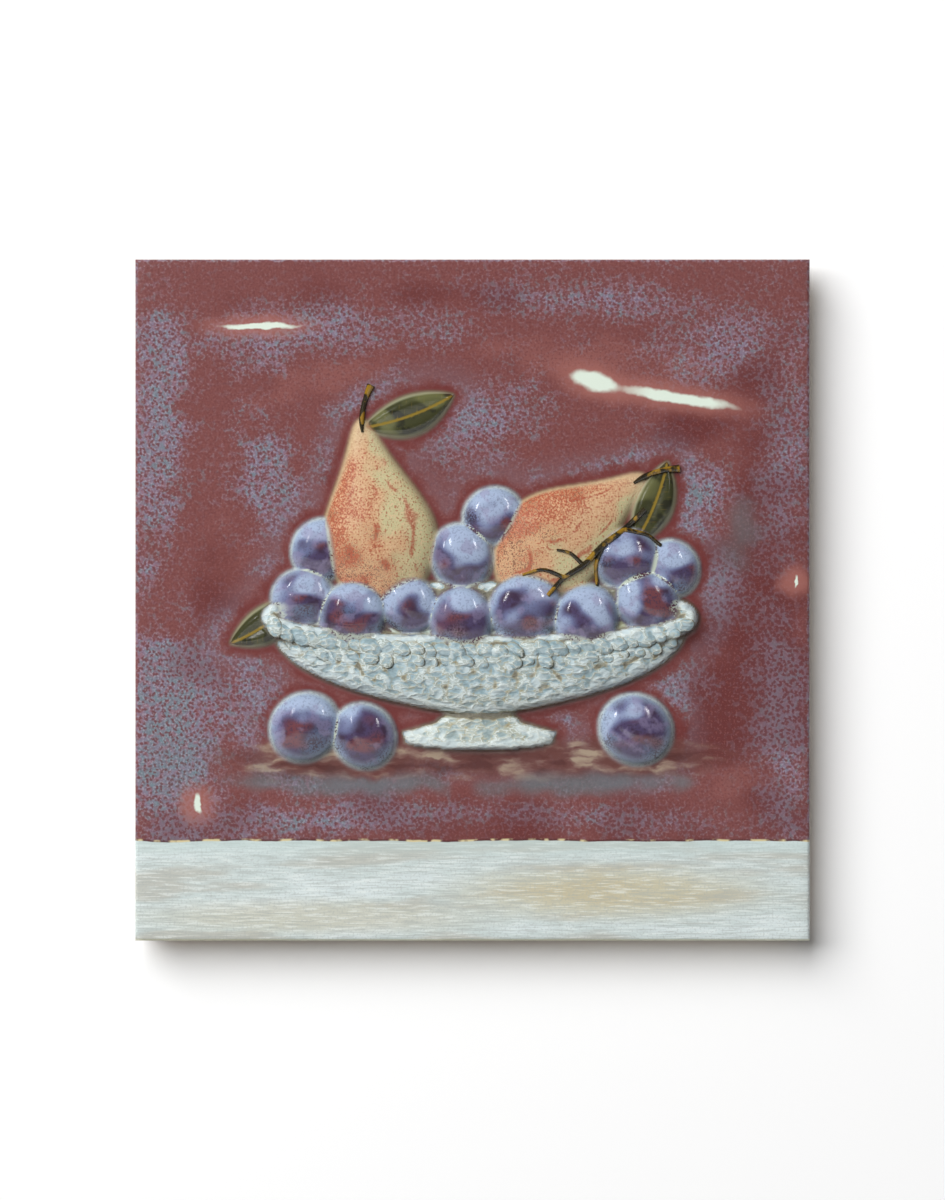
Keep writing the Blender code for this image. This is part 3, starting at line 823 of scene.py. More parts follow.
def outline_points():
    """Where the forms meet the ground, read between neighbouring grid points."""
    found = []
    for step_row, step_column in ((0, 1), (1, 0)):
        here = proud[:proud.shape[0] - step_row, :proud.shape[1] - step_column]
        there = proud[step_row:, step_column:]
        for row, column in zip(*np.nonzero((here > 0) != (there > 0))):
            share = here[row, column] / (here[row, column] - there[row, column])
            start, end = (row, column), (row + step_row, column + step_column)
            across_x, across_z = X[end] - X[start], Z[end] - Z[start]
            found.append((X[start] + share * across_x, Z[start] + share * across_z, 0.0))
    return found


outline = outline_points()
outline_tree = kdtree.KDTree(len(outline))
for index, place in enumerate(outline):
    outline_tree.insert(place, index)
outline_tree.balance()
away = [outline_tree.find((x, z, 0.0))[2] for x, z in zip(X.ravel(), Z.ravel())]
away = np.array(away).reshape(X.shape)
outside = np.clip(np.where(proud > 0, 0.0, away * 1000), 0.0, FARTHEST)
print("outline has", len(outline), "points")

# %% Values that the glaze reads
KINDS = ("plum", "pear", "leaf", "bowl", "well")
# The lavender haze round the fruit, in millimetres: where it starts and ends, and how softly
HAZE_NEAR, HAZE_RISE, HAZE_FAR, HAZE_FALL = 3.0, 4.0, 20.0, 12.0
HAZE_STRENGTH = 0.5
skin_values = {kind: sum(share for form, share in zip(forms, shows) if form.kind == kind) for kind in KINDS}
for name in ("crown", "light", "warm", "dark", "stroke"):
    skin_values[name] = sum(getattr(form, name) * share for form, share in zip(forms, shows))
haze = smooth((outside - HAZE_NEAR) / HAZE_RISE) * smooth((HAZE_FAR - outside) / HAZE_FALL)
haze = haze * np.clip(0.5 + broad + 0.5 * ragged, 0, 1)
skin_values["light"] = skin_values["light"] + HAZE_STRENGTH * haze * shows[-1]
skin_values["joint"] = joint
skin_values["hollow"] = hollow
skin_values["outside"] = outside
print({name: round(float(values.mean()), 3) for name, values in skin_values.items()})

# %% [markdown]
# ## From heights to a closed skin
# The grid becomes a mesh. Its border rolls over the slab's rounded edge and runs down the side, where
# the glaze stopped in a thick uneven line short of the back. The border then turns in behind the
# line and closes over a hidden middle point, so that the skin is one closed body.

# %% The skin's border
ROUND_STEPS = 4
SIDE_DEPTH = 0.0040
DRIP_DEPTH = 0.0066
DRIP_WANDER = 0.0011
DRIP_RUN = 0.0040
DRIP_WAVES = 60          # lumps of the drip line's slow wander, per metre
RUN_WAVES = 170          # lumps of its short runs, per metre
RUN_START = 0.28
DRIP_ROLL = 0.0004
TUCK_IN = 0.0022
TUCK_BACK = 0.0008


def border_loop():
    """Grid indices once round the border."""
    rows, columns = X.shape
    bottom = [(0, c) for c in range(columns - 1)]
    right = [(r, columns - 1) for r in range(rows - 1)]
    top_side = [(rows - 1, c) for c in range(columns - 1, 0, -1)]
    left = [(r, 0) for r in range(rows - 1, 0, -1)]
    return [r * columns + c for r, c in bottom + right + top_side + left]


def skirt_rings(places):
    """The border's copies, from the rounded edge down to the tucked-in end: offset and depth."""
    for step in range(1, ROUND_STEPS + 1):
        turn = math.pi / 2 * step / ROUND_STEPS
        yield EDGE_ROUND * math.sin(turn), np.full(len(places), EDGE_ROUND * (1.0 - math.cos(turn)))
    yield EDGE_ROUND, np.full(len(places), SIDE_DEPTH)
    wander = np.array([noise.noise((x * DRIP_WAVES, z * DRIP_WAVES, 4.4)) for x, z in places])
    runs = np.array([noise.noise((x * RUN_WAVES, z * RUN_WAVES, 9.1)) - RUN_START for x, z in places])
    runs = np.maximum(runs, 0.0)
    line = DRIP_DEPTH + DRIP_WANDER * wander + DRIP_RUN * runs
    yield EDGE_ROUND, line
    yield EDGE_ROUND - DRIP_ROLL, line + DRIP_ROLL
    yield EDGE_ROUND - TUCK_IN, line - TUCK_BACK


print("the glaze stops about", DRIP_DEPTH * 1000, "mm behind the face")


# %% Skin mesh
ON_BORDER = 1e-7
SHARP_DEGREES = 50.0


def skin_mesh():
    """The glaze skin's points and faces."""
    rows, columns = X.shape
    points = [np.stack([X, FACE_Y - skin_height, Z], axis=-1).reshape(-1, 3)]
    corner = (np.arange(rows - 1)[:, None] * columns + np.arange(columns - 1)).ravel()
    faces = np.stack([corner, corner + 1, corner + columns + 1, corner + columns], axis=-1).tolist()
    loop = border_loop()
    flat = points[0][loop]
    side_x = np.where(abs(abs(flat[:, 0]) - flat_x) < ON_BORDER, np.sign(flat[:, 0]), 0.0)
    side_z = np.where(abs(abs(flat[:, 2]) - flat_z) < ON_BORDER, np.sign(flat[:, 2]), 0.0)
    inner, count = np.array(loop), rows * columns
    for offset, depth in skirt_rings(flat[:, (0, 2)]):
        ring = np.stack([flat[:, 0] + side_x * offset, FACE_Y + depth, flat[:, 2] + side_z * offset], axis=-1)
        outer = count + np.arange(len(loop))
        points.append(ring)
        faces += np.stack([inner, outer, np.roll(outer, -1), np.roll(inner, -1)], axis=-1).tolist()
        inner, count = outer, count + len(loop)
    points.append(np.array([[0.0, FACE_Y + DRIP_DEPTH, 0.0]]))
    faces += [(a, count, b) for a, b in zip(inner.tolist(), np.roll(inner, -1).tolist())]
    return np.concatenate(points), faces


def mesh_object(name, points, faces):
    """A smooth-shaded object from points and faces, its normals outward."""
    data = bpy.data.meshes.new(name)
    data.from_pydata(np.asarray(points).tolist(), [], faces)
    work = bmesh.new()
    work.from_mesh(data)
    bmesh.ops.recalc_face_normals(work, faces=work.faces)
    work.to_mesh(data)
    work.free()
    data.shade_smooth()
    data.set_sharp_from_angle(angle=math.radians(SHARP_DEGREES))
    return put(name, data)


skin_points, skin_faces = skin_mesh()
skin = mesh_object("glaze_skin", skin_points, skin_faces)
SIDE_VALUES = {"outside": FARTHEST, "light": 0.55}
for name, values in skin_values.items():
    full = np.full(len(skin_points), SIDE_VALUES.get(name, 0.0), np.float32)
    full[:X.size] = values.ravel()
    skin.data.attributes.new(name, "FLOAT", "POINT").data.foreach_set("value", full)
skin.data.update()
print(skin.name, sum(len(p.vertices) - 2 for p in skin.data.polygons), "triangles")

# %% [markdown]
# ## The glazes
# Glaze is glass: it has an index near 1.5 and is smooth where it melted well, duller where it is thin
# or crystalline. Every recipe below is built up as a painter does, coat over coat. A coat is a colour
# and a pattern: the coat lies where the pattern rises from a low value to a high one, or falls
# between them. Broad washes come from the fields on the skin, fine ones from noise and cells.

# %% Sizes of the glaze patterns
CELL = 0.0021            # spacing of the mottling's cells
BRISTLE = 0.00075        # spacing of the brush's bristle lines, drawn as coarse as the view can show
GRAIN = 0.0010           # size of the glaze's clouding inside a cell
DOT = 0.0008             # size of the stipple dots and oxide specks, as fine as the view can show
DRIFT = 0.0080           # size of the patches where a glaze drifted
MOTTLE = 0.0027          # size of the rose and teal clouds in the second glaze
KNIFE = 0.0045           # spacing of the knife's ridges in the white slip

glaze, paint = new_material("reactive_glaze_on_stoneware")
place = add(paint, "ShaderNodeTexCoord").outputs["Object"]
seen = {name: add(paint, "ShaderNodeAttribute", attribute_name=name).outputs["Fac"]
        for name in (*skin_values, "twig")}
print("cells are", round(CELL / FRAME_HEIGHT * 1024, 1), "pixels wide in a 1024 pixel frame")


# %% Patterns and coats
def speckle(tree, where, size, stretch=(1.0, 1.0, 1.0), shift=0.0, detail=2.0):
    """Cloudy noise with lumps of this size in metres, drawn out along each axis by the stretch."""
    moved = add(tree, "ShaderNodeMapping", {
        "Vector": where, "Location": (shift, shift * 0.7, shift * 1.3),
        "Scale": tuple(1.0 / (size * s) for s in stretch)})
    return add(tree, "ShaderNodeTexNoise", {"Vector": moved, "Scale": 1.0, "Detail": detail})


def coat(tree, under, colour, pattern, low, high, strength=1.0, where=None):
    """Lays a colour over what is under it, where a pattern goes from low to high."""
    amount = add(tree, "ShaderNodeMapRange", {"Value": pattern, "From Min": low, "From Max": high,
                                              "To Max": strength}, interpolation_type="SMOOTHSTEP")
    if where is not None:
        amount = add(tree, "ShaderNodeMath", {0: amount, 1: where}, operation="MULTIPLY")
    top_coat = colour if isinstance(colour, bpy.types.Node) else linear(colour)
    return add(tree, "ShaderNodeMix", {"Factor": amount, "A": under, "B": top_coat}, data_type="RGBA")


def coats(tree, under, recipe):
    """Lays a list of coats, each as (colour, pattern, low, high, strength)."""
    for colour, pattern, low, high, strength in recipe:
        under = coat(tree, under, colour, pattern, low, high, strength)
    return under


fine = speckle(paint, place, GRAIN, detail=1.0).outputs["Fac"]
drift_colour = speckle(paint, place, DRIFT, shift=3.1, detail=3.0).outputs["Color"]
drift = add(paint, "ShaderNodeSeparateXYZ", {0: drift_colour}).outputs
height_on_slab = add(paint, "ShaderNodeSeparateXYZ", {0: place}).outputs["Z"]
centred = add(paint, "ShaderNodeVectorMath", {0: drift_colour, 1: (0.5, 0.5, 0.5)},
              operation="SUBTRACT")
print("patterns ready")

# %% [markdown]
# ### The red ground
# Copper and iron glazes fired over one another break into a fine net: where the second glaze is thin
# it only draws lines between brick-red cells, and where it is thick it covers all but dark dots. So
# the net is one pattern, the distance to the nearest cell made ragged by the fine clouding, and it is
# read against a cloudy coverage. Rose and teal clouds mottle the second glaze itself. The cells are
# flat ones, tipped a little so that they carry on round the slab's edges.

# %% Mottled ground
WARP = 0.0016
CELL_TIP = (math.radians(72), math.radians(14), 0.0)
RAGGED_NET = 0.90        # share of the fine clouding in the net
CLOUDY_COVER = 0.75      # share of the drifting clouds in the second glaze's coverage
COVER_IN_NET = 0.30      # how much more of the net shows where the coverage is thick
bent = add(paint, "ShaderNodeVectorMath", {0: centred, 1: (WARP * 2,) * 3, 2: place},
           operation="MULTIPLY_ADD")
tipped = add(paint, "ShaderNodeMapping", {"Vector": bent, "Rotation": CELL_TIP})
cells = add(paint, "ShaderNodeTexVoronoi", {"Vector": tipped, "Scale": 1.0 / CELL},
            voronoi_dimensions="2D").outputs["Distance"]
net = add(paint, "ShaderNodeMath", {0: fine, 1: RAGGED_NET, 2: cells}, operation="MULTIPLY_ADD")
mottle = speckle(paint, place, MOTTLE, shift=4.4, detail=2.0).outputs["Fac"]
covered = add(paint, "ShaderNodeMath", {0: drift[0], 1: CLOUDY_COVER, 2: seen["light"]},
              operation="MULTIPLY_ADD")
read_net = add(paint, "ShaderNodeMath", {0: covered, 1: COVER_IN_NET, 2: net}, operation="MULTIPLY_ADD")
red = coats(paint, linear("#774442"), (
    ("#602a29", seen["dark"], 0.05, 0.9, 0.95),
    ("#8f5954", seen["warm"], 0.10, 1.0, 0.75),
    ("#633434", fine, 0.47, 0.36, 0.50),
    ("#875350", fine, 0.54, 0.66, 0.42),
))
pale = coats(paint, linear("#836c79"), (
    ("#857c93", covered, 0.75, 1.15, 0.80),
    ("#6b8189", covered, 1.05, 1.50, 0.75),
    ("#678087", drift[1], 0.53, 0.66, 0.55),
    ("#8d6470", mottle, 0.52, 0.64, 0.70),
    ("#668890", mottle, 0.47, 0.36, 0.60),
    ("#a8a3ae", fine, 0.54, 0.68, 0.60),
    ("#5c4955", fine, 0.45, 0.34, 0.50),
    ("#705862", seen["dark"], 0.05, 0.75, 0.70),
))
ground = coat(paint, red, pale, covered, 0.50, 1.45, 0.32)
ground = coat(paint, ground, "#5c7277", seen["stroke"], 0.10, 0.95, 0.65)
line_strength = add(paint, "ShaderNodeMapRange", {"Value": covered, "From Min": 0.42, "From Max": 1.20,
                                                  "To Min": 0.10, "To Max": 0.85})
ground = coat(paint, ground, pale, read_net, 1.02, 1.30, 1.00, line_strength)
ground = coat(paint, ground, "#5f3038", net, 0.80, 0.52, 0.70, line_strength)
print("ground painted")

# %% [markdown]
# Round the fruit the glazes pooled against the relief. A thin dark line follows the outline, then a
# ring of strong red that widens, thins and breaks. The skin carries the distance from the outline in
# millimetres, and the drifting noise makes the ring wander.

# %% Pooling round the relief
RING_WANDER = 13.0       # millimetres
ragged_ring = add(paint, "ShaderNodeMath", {0: drift[1], 1: -RING_WANDER, 2: seen["outside"]},
                  operation="MULTIPLY_ADD")
ring_here = add(paint, "ShaderNodeMapRange", {"Value": drift[2], "From Min": 0.36, "From Max": 0.58,
                                              "To Min": 0.15})
haze_out = add(paint, "ShaderNodeMapRange", {"Value": seen["outside"], "From Min": 17.0, "From Max": 6.0})
ground = coat(paint, ground, "#7a7684", ragged_ring, -4.0, 2.0, 0.20, haze_out)
ground = coat(paint, ground, "#672a29", ragged_ring, -1.0, -5.5, 0.74, ring_here)
ground = coat(paint, ground, "#682b29", seen["outside"], 4.4, 0.8, 0.62)
ground = coat(paint, ground, "#451819", seen["outside"], 1.6, 0.2, 0.75, ring_here)
print("outline pooled")

# %% [markdown]
# ### Bare flashes and the shade under the bowl
# Wax or a fingertip kept the red glaze off in a few places: the cream body shows there, with a pink
# fringe where the red thins. Under the bowl a painted shadow is brushed in brown and cream. Each of
# these is a daub: an oval with a place, a size and a lean, whose edge wanders with the drifting glaze.

# %% Daubs
WANDER = 0.0042
wandering = add(paint, "ShaderNodeVectorMath", {0: centred, 1: (WANDER * 2, 0.0, WANDER), 2: place},
                operation="MULTIPLY_ADD")


def daub(middle, half_length, half_width, lean):
    """How far a point lies from a daub's middle: 1 on its outline."""
    moved = add(paint, "ShaderNodeMapping", {
        "Vector": wandering, "Location": (middle[0], 0.0, middle[1]),
        "Rotation": (0.0, -math.radians(lean), 0.0), "Scale": (half_length, 1.0, half_width)},
        vector_type="TEXTURE")
    flat = add(paint, "ShaderNodeVectorMath", {0: moved, 1: (1.0, 0.0, 1.0)}, operation="MULTIPLY")
    return add(paint, "ShaderNodeVectorMath", {0: flat}, operation="LENGTH").outputs["Value"]


BRUSH_MARK = 0.0065      # size of the brush marks in the shade under the bowl
brushed = speckle(paint, wandering, BRUSH_MARK, (2.4, 1.0, 0.8), shift=1.3, detail=3.0).outputs["Fac"]
shade_colour = coats(paint, linear("#613b36"), (
    ("#4a2421", brushed, 0.47, 0.36, 0.85),
    ("#7f625a", brushed, 0.48, 0.58, 0.85),
    ("#ab9b85", brushed, 0.55, 0.68, 0.85),
))
# Daubs of shade, then of bare flashes: middle x and z, half length, half width, lean
UNDER_BOWL = (((0.004, -0.0695), 0.088, 0.0082, 0.0), ((-0.066, -0.0700), 0.034, 0.0084, 3.0),
              ((0.074, -0.0690), 0.026, 0.0080, -4.0))
for middle, half_length, half_width, lean in UNDER_BOWL:
    ground = coat(paint, ground, shade_colour, daub(middle, half_length, half_width, lean), 1.50, 0.50, 0.88)
FLASHES = (((0.089, 0.0895), 0.0230, 0.0022, -9.0), ((0.054, 0.0965), 0.0095, 0.0034, -16.0),
           ((-0.094, 0.1210), 0.0150, 0.0012, 1.0), ((-0.1215, -0.0900), 0.0014, 0.0042, 8.0),
           ((0.1425, 0.0080), 0.0008, 0.0022, 0.0))
for middle, half_length, half_width, lean in FLASHES:
    fringe = daub(middle, half_length + 0.0060, half_width + 0.0034, lean)
    ground = coat(paint, ground, "#a0655d", fringe, 1.70, 0.40, 0.80)
    ground = coat(paint, ground, "#dce8da", daub(middle, half_length, half_width, lean), 1.40, 0.75)
print("daubs:", len(UNDER_BOWL) + 2 * len(FLASHES))

# %% [markdown]
# ### The pale band
# Along the bottom the ground stops at a brushed band of celadon and bone. The bristles left fine
# level lines, and a warmer, ochre wash lies right of the middle. Bits of cream show along its edge.

# %% Brushed band
BAND_TOP = -0.1065       # upper edge of the band, 44 mm above the slab's lower edge
BAND_WANDER = 0.0022
EDGE_LUMP = 0.016        # length of the waves in its edge
WASH = 0.013             # height of its washes, which run six times as long
edge_noise = speckle(paint, place, EDGE_LUMP, shift=6.4, detail=3.0).outputs["Fac"]
lifted = add(paint, "ShaderNodeMath", {0: edge_noise, 1: BAND_WANDER, 2: BAND_TOP - BAND_WANDER / 2},
             operation="MULTIPLY_ADD")
into_band = add(paint, "ShaderNodeMath", {0: lifted, 1: height_on_slab}, operation="SUBTRACT").outputs[0]
wash = speckle(paint, place, WASH, (6.0, 1.0, 0.8), shift=5.5, detail=4.0).outputs["Fac"]
bristles = speckle(paint, place, BRISTLE, (14.0, 1.0, 1.0), shift=2.2, detail=3.0).outputs["Fac"]
band_colour = coats(paint, linear("#c9d4d2"), (
    ("#b9b8ae", wash, 0.50, 0.38, 0.80),
    ("#d6e0e0", wash, 0.53, 0.64, 0.80),
    ("#c5b994", daub((0.060, -0.1290), 0.060, 0.0105, 0.0), 1.5, 0.4, 0.75),
    ("#c3bda6", daub((-0.070, -0.1400), 0.070, 0.0070, 0.0), 1.5, 0.4, 0.60),
    ("#a9afab", bristles, 0.48, 0.38, 0.45),
    ("#eaf0ed", bristles, 0.53, 0.64, 0.45),
    ("#a6aca9", fine, 0.46, 0.36, 0.32),
    ("#c2d3d0", into_band, 0.0090, 0.0005, 0.55),
    ("#e2dfbb", height_on_slab, 0.0012 - HALF_HEIGHT, 0.0004 - HALF_HEIGHT, 0.6),
))
bits = add(paint, "ShaderNodeMapRange", {"Value": drift[2], "From Min": 0.50, "From Max": 0.58})
ground = coat(paint, ground, "#471f20", into_band, -0.0013, -0.0003, 0.75)
ground = coat(paint, ground, "#d8c99c", into_band, -0.0012, -0.0005, 0.95, bits)
painted = coat(paint, ground, band_colour, into_band, -0.0002, 0.0002)
print("band starts", round((HALF_HEIGHT + BAND_TOP) * 1000, 1), "mm above the slab's lower edge")

# %% [markdown]
# ### The white slip of the bowl
# White slip under a pale blue glaze: the glaze is clear on the ridges and pools blue-grey and ochre in
# the hollows, and over it lie painted highlights on the knife's ridges and painted shade in the hollows
# and grooves. The knife left sharp little ridges where it was lifted: they lie where a soft noise
# passes its middle value, so they run in short crooked lines.

# %% Bowl colours
strokes_of_knife = speckle(paint, place, KNIFE, (1.5, 1.0, 0.8), shift=2.7,
                           detail=2.5).outputs["Fac"]
from_middle = add(paint, "ShaderNodeMath", {0: strokes_of_knife, 1: 0.5}, operation="SUBTRACT")
knife = add(paint, "ShaderNodeMath", {0: from_middle}, operation="ABSOLUTE").outputs[0]
bowl_colour = coats(paint, linear("#a0bac4"), (
    ("#b6cbd3", drift[0], 0.47, 0.60, 0.80),
    ("#8ea7ae", drift[1], 0.48, 0.38, 0.55),
    ("#c1bfa3", seen["warm"], 0.45, 1.00, 0.30),
    ("#a3976f", seen["stroke"], 0.35, 0.95, 0.50),
    # painted shade, with the blue-grey glaze, on the low ground between the knife's ridges
    ("#7b8e92", knife, 0.05, 0.12, 0.60),
    ("#a99a6c", knife, 0.075, 0.045, 0.40),
    # painted highlight, with the clear glaze, along the knife's ridges
    ("#dfeaea", knife, 0.026, 0.004, 0.70),
    ("#a6966a", seen["hollow"], 0.25, 1.0, 0.58),
    ("#dde8e8", seen["hollow"], -0.25, -1.1, 0.55),
    # painted shade in the deepest hollows, over the pooled glaze
    ("#5f5a4e", seen["hollow"], 0.75, 1.4, 0.70),
    # painted shade in the gadroons' grooves and between the rim's pinches
    ("#5d3a35", seen["dark"], 0.80, 1.0, 0.30),
))
well_colour = coats(paint, linear("#c6d3c6"), (
    ("#4e1a25", drift[0], 0.55, 0.61, 0.85),
    ("#bcbf92", drift[1], 0.50, 0.60, 0.70),
))
print("bowl colours mixed")

# %% [markdown]
# ### Plums and pears
# A pale blue painted highlight sits on the plums' upper side and a painted shade below, their edges
# fade to a milky halo where the glaze ran off, and oxide specks gather below. The pears are duller,
# stippled red over ochre, with painted light on one flank.

# %% Fruit colours
dots = speckle(paint, place, DOT, shift=8.0, detail=0.5).outputs["Fac"]
crackle = add(paint, "ShaderNodeTexVoronoi", {"Vector": tipped, "Scale": 1.0 / CELL},
              voronoi_dimensions="2D", feature="DISTANCE_TO_EDGE").outputs["Distance"]
specks = add(paint, "ShaderNodeMath", {0: drift[2], 1: 1.2, 2: dots}, operation="MULTIPLY_ADD")
plum_colour = coats(paint, linear("#4c4160"), (
    ("#3a2838", drift[1], 0.50, 0.38, 0.75),
    # painted shade: slate blue on the plums' lower side
    ("#566c88", seen["dark"], 0.15, 0.95, 0.65),
    ("#74403f", seen["warm"], 0.05, 1.00, 0.82),
    ("#33202f", fine, 0.47, 0.35, 0.50),
    # painted highlight: pale blue on the plums' upper side, in two coats
    ("#767fa4", seen["light"], 0.15, 0.65, 0.78),
    ("#a9b9d3", seen["light"], 0.48, 0.95, 0.85),
    ("#93a5bb", seen["crown"], 0.74, 0.42, 0.65),
    ("#bfd1d3", seen["crown"], 0.50, 0.14, 0.88),
    ("#8b7f9f", drift[2], 0.53, 0.64, 0.42),
    ("#544c66", fine, 0.47, 0.35, 0.26),
))
plum_colour = coat(paint, plum_colour, "#38202c", specks, 1.06, 0.82, 0.85, seen["dark"])
pear_colour = coats(paint, linear("#c8a07a"), (
    # painted light: the lit flank turns pale
    ("#bfb98e", seen["light"], 0.05, 0.85, 0.95),
    ("#bd7a59", seen["warm"], 0.10, 0.95, 0.75),
    ("#a3503a", seen["stroke"], 0.30, 0.95, 0.78),
))
dotted = add(paint, "ShaderNodeMath", {0: seen["warm"], 1: 0.12, 2: dots}, operation="MULTIPLY_ADD")
pear_colour = coats(paint, pear_colour, (
    ("#a24f38", dotted, 0.58, 0.70, 0.75),
    ("#d8b490", dots, 0.44, 0.33, 0.55),
))
pear_colour = coat(paint, pear_colour, "#8a4733", crackle, 0.10, 0.02, 0.65, seen["warm"])
pear_colour = coat(paint, pear_colour, "#6a3524", dots, 0.46, 0.36, 0.80, seen["dark"])
pear_colour = coat(paint, pear_colour, "#cbbd96", seen["crown"], 0.34, 0.06, 0.70)
leaf_colour = coats(paint, linear("#3a3b22"), (
    ("#23231a", drift[0], 0.48, 0.40, 0.8),
    ("#6c6d45", seen["light"], 0.30, 0.90, 0.7),
    ("#92792e", seen["stroke"], 0.25, 0.80, 0.85),
    ("#a9ab8b", seen["crown"], 0.22, 0.04, 0.70),
))
twig_colour = coats(paint, linear("#2b2413"), (
    ("#191610", drift[0], 0.50, 0.42, 0.90),
    ("#93701c", drift[2], 0.52, 0.60, 0.90),
))
print("fruit colours mixed")

# %% [markdown]
# The recipes go over the ground one after another, each where its kind of form shows. Last come the
# joints, where cream glaze and specks of oxide pooled between the fruits.

# %% All recipes together
RECIPES = (("well", well_colour), ("leaf", leaf_colour), ("bowl", bowl_colour), ("pear", pear_colour),
           ("plum", plum_colour), ("twig", twig_colour))
for name, colour in RECIPES:
    painted = add(paint, "ShaderNodeMix", {"Factor": seen[name], "A": painted, "B": colour}, data_type="RGBA")
pool_colour = coat(paint, linear("#c9d4c0"), "#4a1923", specks, 1.12, 0.92)
painted = coat(paint, painted, pool_colour, seen["joint"], 0.30, 0.80, 0.85, seen["plum"])
painted = coat(paint, painted, "#9a5d3c", seen["joint"], 0.30, 0.90, 0.55, seen["pear"])
print("layers:", [name for name, _ in RECIPES])

# %% Gloss and fine bump
# Roughness of the ground and of the band, then of each kind of form
GROUND_GLOSS, BAND_GLOSS = 0.38, 0.50
GLOSS = (("leaf", 0.20), ("bowl", 0.17), ("well", 0.20), ("pear", 0.34), ("plum", 0.09), ("twig", 0.25))
in_band = add(paint, "ShaderNodeMapRange", {"Value": into_band, "From Max": 0.0003,
                                            "To Min": GROUND_GLOSS, "To Max": BAND_GLOSS})
roughness = in_band
for name, value in GLOSS:
    roughness = add(paint, "ShaderNodeMix", {"Factor": seen[name], "A": roughness, "B": value},
                    data_type="FLOAT")
# Pattern, where it lies, depth in metres
BUMPS = ((bristles, in_band, 0.00012), (knife, seen["bowl"], -0.0022), (dots, seen["pear"], 0.00014),
         (fine, seen["bowl"], 0.00010))
bumpy = 0.0
for pattern, where, depth in BUMPS:
    local = add(paint, "ShaderNodeMath", {0: pattern, 1: where}, operation="MULTIPLY")
    bumpy = add(paint, "ShaderNodeMath", {0: local, 1: depth, 2: bumpy}, operation="MULTIPLY_ADD")
bump = add(paint, "ShaderNodeBump", {"Strength": 1.0, "Distance": 1.0, "Height": bumpy})
shader = add(paint, "ShaderNodeBsdfPrincipled", {
    "Base Color": painted, "Roughness": roughness, "Normal": bump, "IOR": 1.5, "Metallic": 0.0})
add(paint, "ShaderNodeOutputMaterial", {"Surface": shader})
skin.data.materials.append(glaze)
print("glaze has", len(paint.nodes), "nodes")

# %% [markdown]
# ## Stalks and a twig
# The pears' stalks and the plum twig are rolls of clay laid over the relief, painted with iron oxide.
# Each is a tube swept along a path. The path follows the skin: at every step the roll is laid on the
# height that is there, and never lower than the step before allows.

# %% Rolled clay
TUBE_SIDES = 8
STALK_LENGTH = 0.020
STALK_BEND = 0.35
STALK_OVERLAP = 0.006
STALK_HALF_WIDTH = 0.0016
STALK_TAPER = (0.35, 0.8, 0.75, 0.75, 1.15)
STALK_STEPS = 15
ROLL_STANDS = 0.35       # how far a roll's middle stands off the skin, as a share of its radius
SETTLE_PASSES = 3
BOW_STEPS = 7
BOW_PASSES = 6


def height_at(x, z):
    """The skin's height above the face at a place of the still life."""
    row = int(np.argmin(abs(lines_z - GROUP_Z - z)))
    column = int(np.argmin(abs(lines_x - GROUP_X - x)))
    return float(skin_height[row, column])


def roll(path, radii):
    """A closed tube along points (x, z) of the still life, laid on the skin, as points and faces."""
    path = np.array(path)
    heights = np.array([max(height_at(x, z), 0.0) for x, z in path])
    for _ in range(SETTLE_PASSES):
        padded = np.pad(heights, 1, mode="edge")
        heights = np.maximum(heights, (padded[:-2] + padded[2:]) / 2)
    radii = np.interp(np.linspace(0, 1, len(path)), np.linspace(0, 1, len(radii)), radii)
    ahead = np.gradient(path, axis=0)
    ahead = ahead / np.linalg.norm(ahead, axis=1)[:, None]
    points = []
    for (x, z), (run_x, run_z), height, radius in zip(path, ahead, heights, radii):
        y = FACE_Y - height - radius * ROLL_STANDS
        for step in range(TUBE_SIDES):
            turn = 2 * math.pi * step / TUBE_SIDES
            side, out = radius * math.cos(turn), radius * math.sin(turn)
            points.append((GROUP_X + x - run_z * side, y - out, GROUP_Z + z + run_x * side))
    faces = [(r * TUBE_SIDES + s, r * TUBE_SIDES + (s + 1) % TUBE_SIDES,
              (r + 1) * TUBE_SIDES + (s + 1) % TUBE_SIDES, (r + 1) * TUBE_SIDES + s)
             for r in range(len(path) - 1) for s in range(TUBE_SIDES)]
    last = (len(path) - 1) * TUBE_SIDES
    faces += [tuple(range(TUBE_SIDES)), tuple(range(last, last + TUBE_SIDES))]
    return points, faces


def bowed(points):
    """A smooth path through a few points."""
    points = np.array(points)
    spots = np.arange(len(points))
    fine_spots = np.linspace(0, len(points) - 1, (len(points) - 1) * BOW_STEPS + 1)
    path = np.stack([np.interp(fine_spots, spots, points[:, axis]) for axis in (0, 1)], axis=1)
    for _ in range(BOW_PASSES):
        path[1:-1] = (path[:-2] + 2 * path[1:-1] + path[2:]) / 4
    return path


def rolled_piece(name, rolls):
    """One object of several rolls, each given as a path and its radii."""
    points, faces = [], []
    for path, radii in rolls:
        more_points, more_faces = roll(path, radii)
        faces += [tuple(index + len(points) for index in face) for face in more_faces]
        points += more_points
    piece = mesh_object(name, points, faces)
    values = piece.data.attributes.new("twig", "FLOAT", "POINT")
    values.data.foreach_set("value", np.ones(len(points), np.float32))
    piece.data.materials.append(glaze)
    return piece


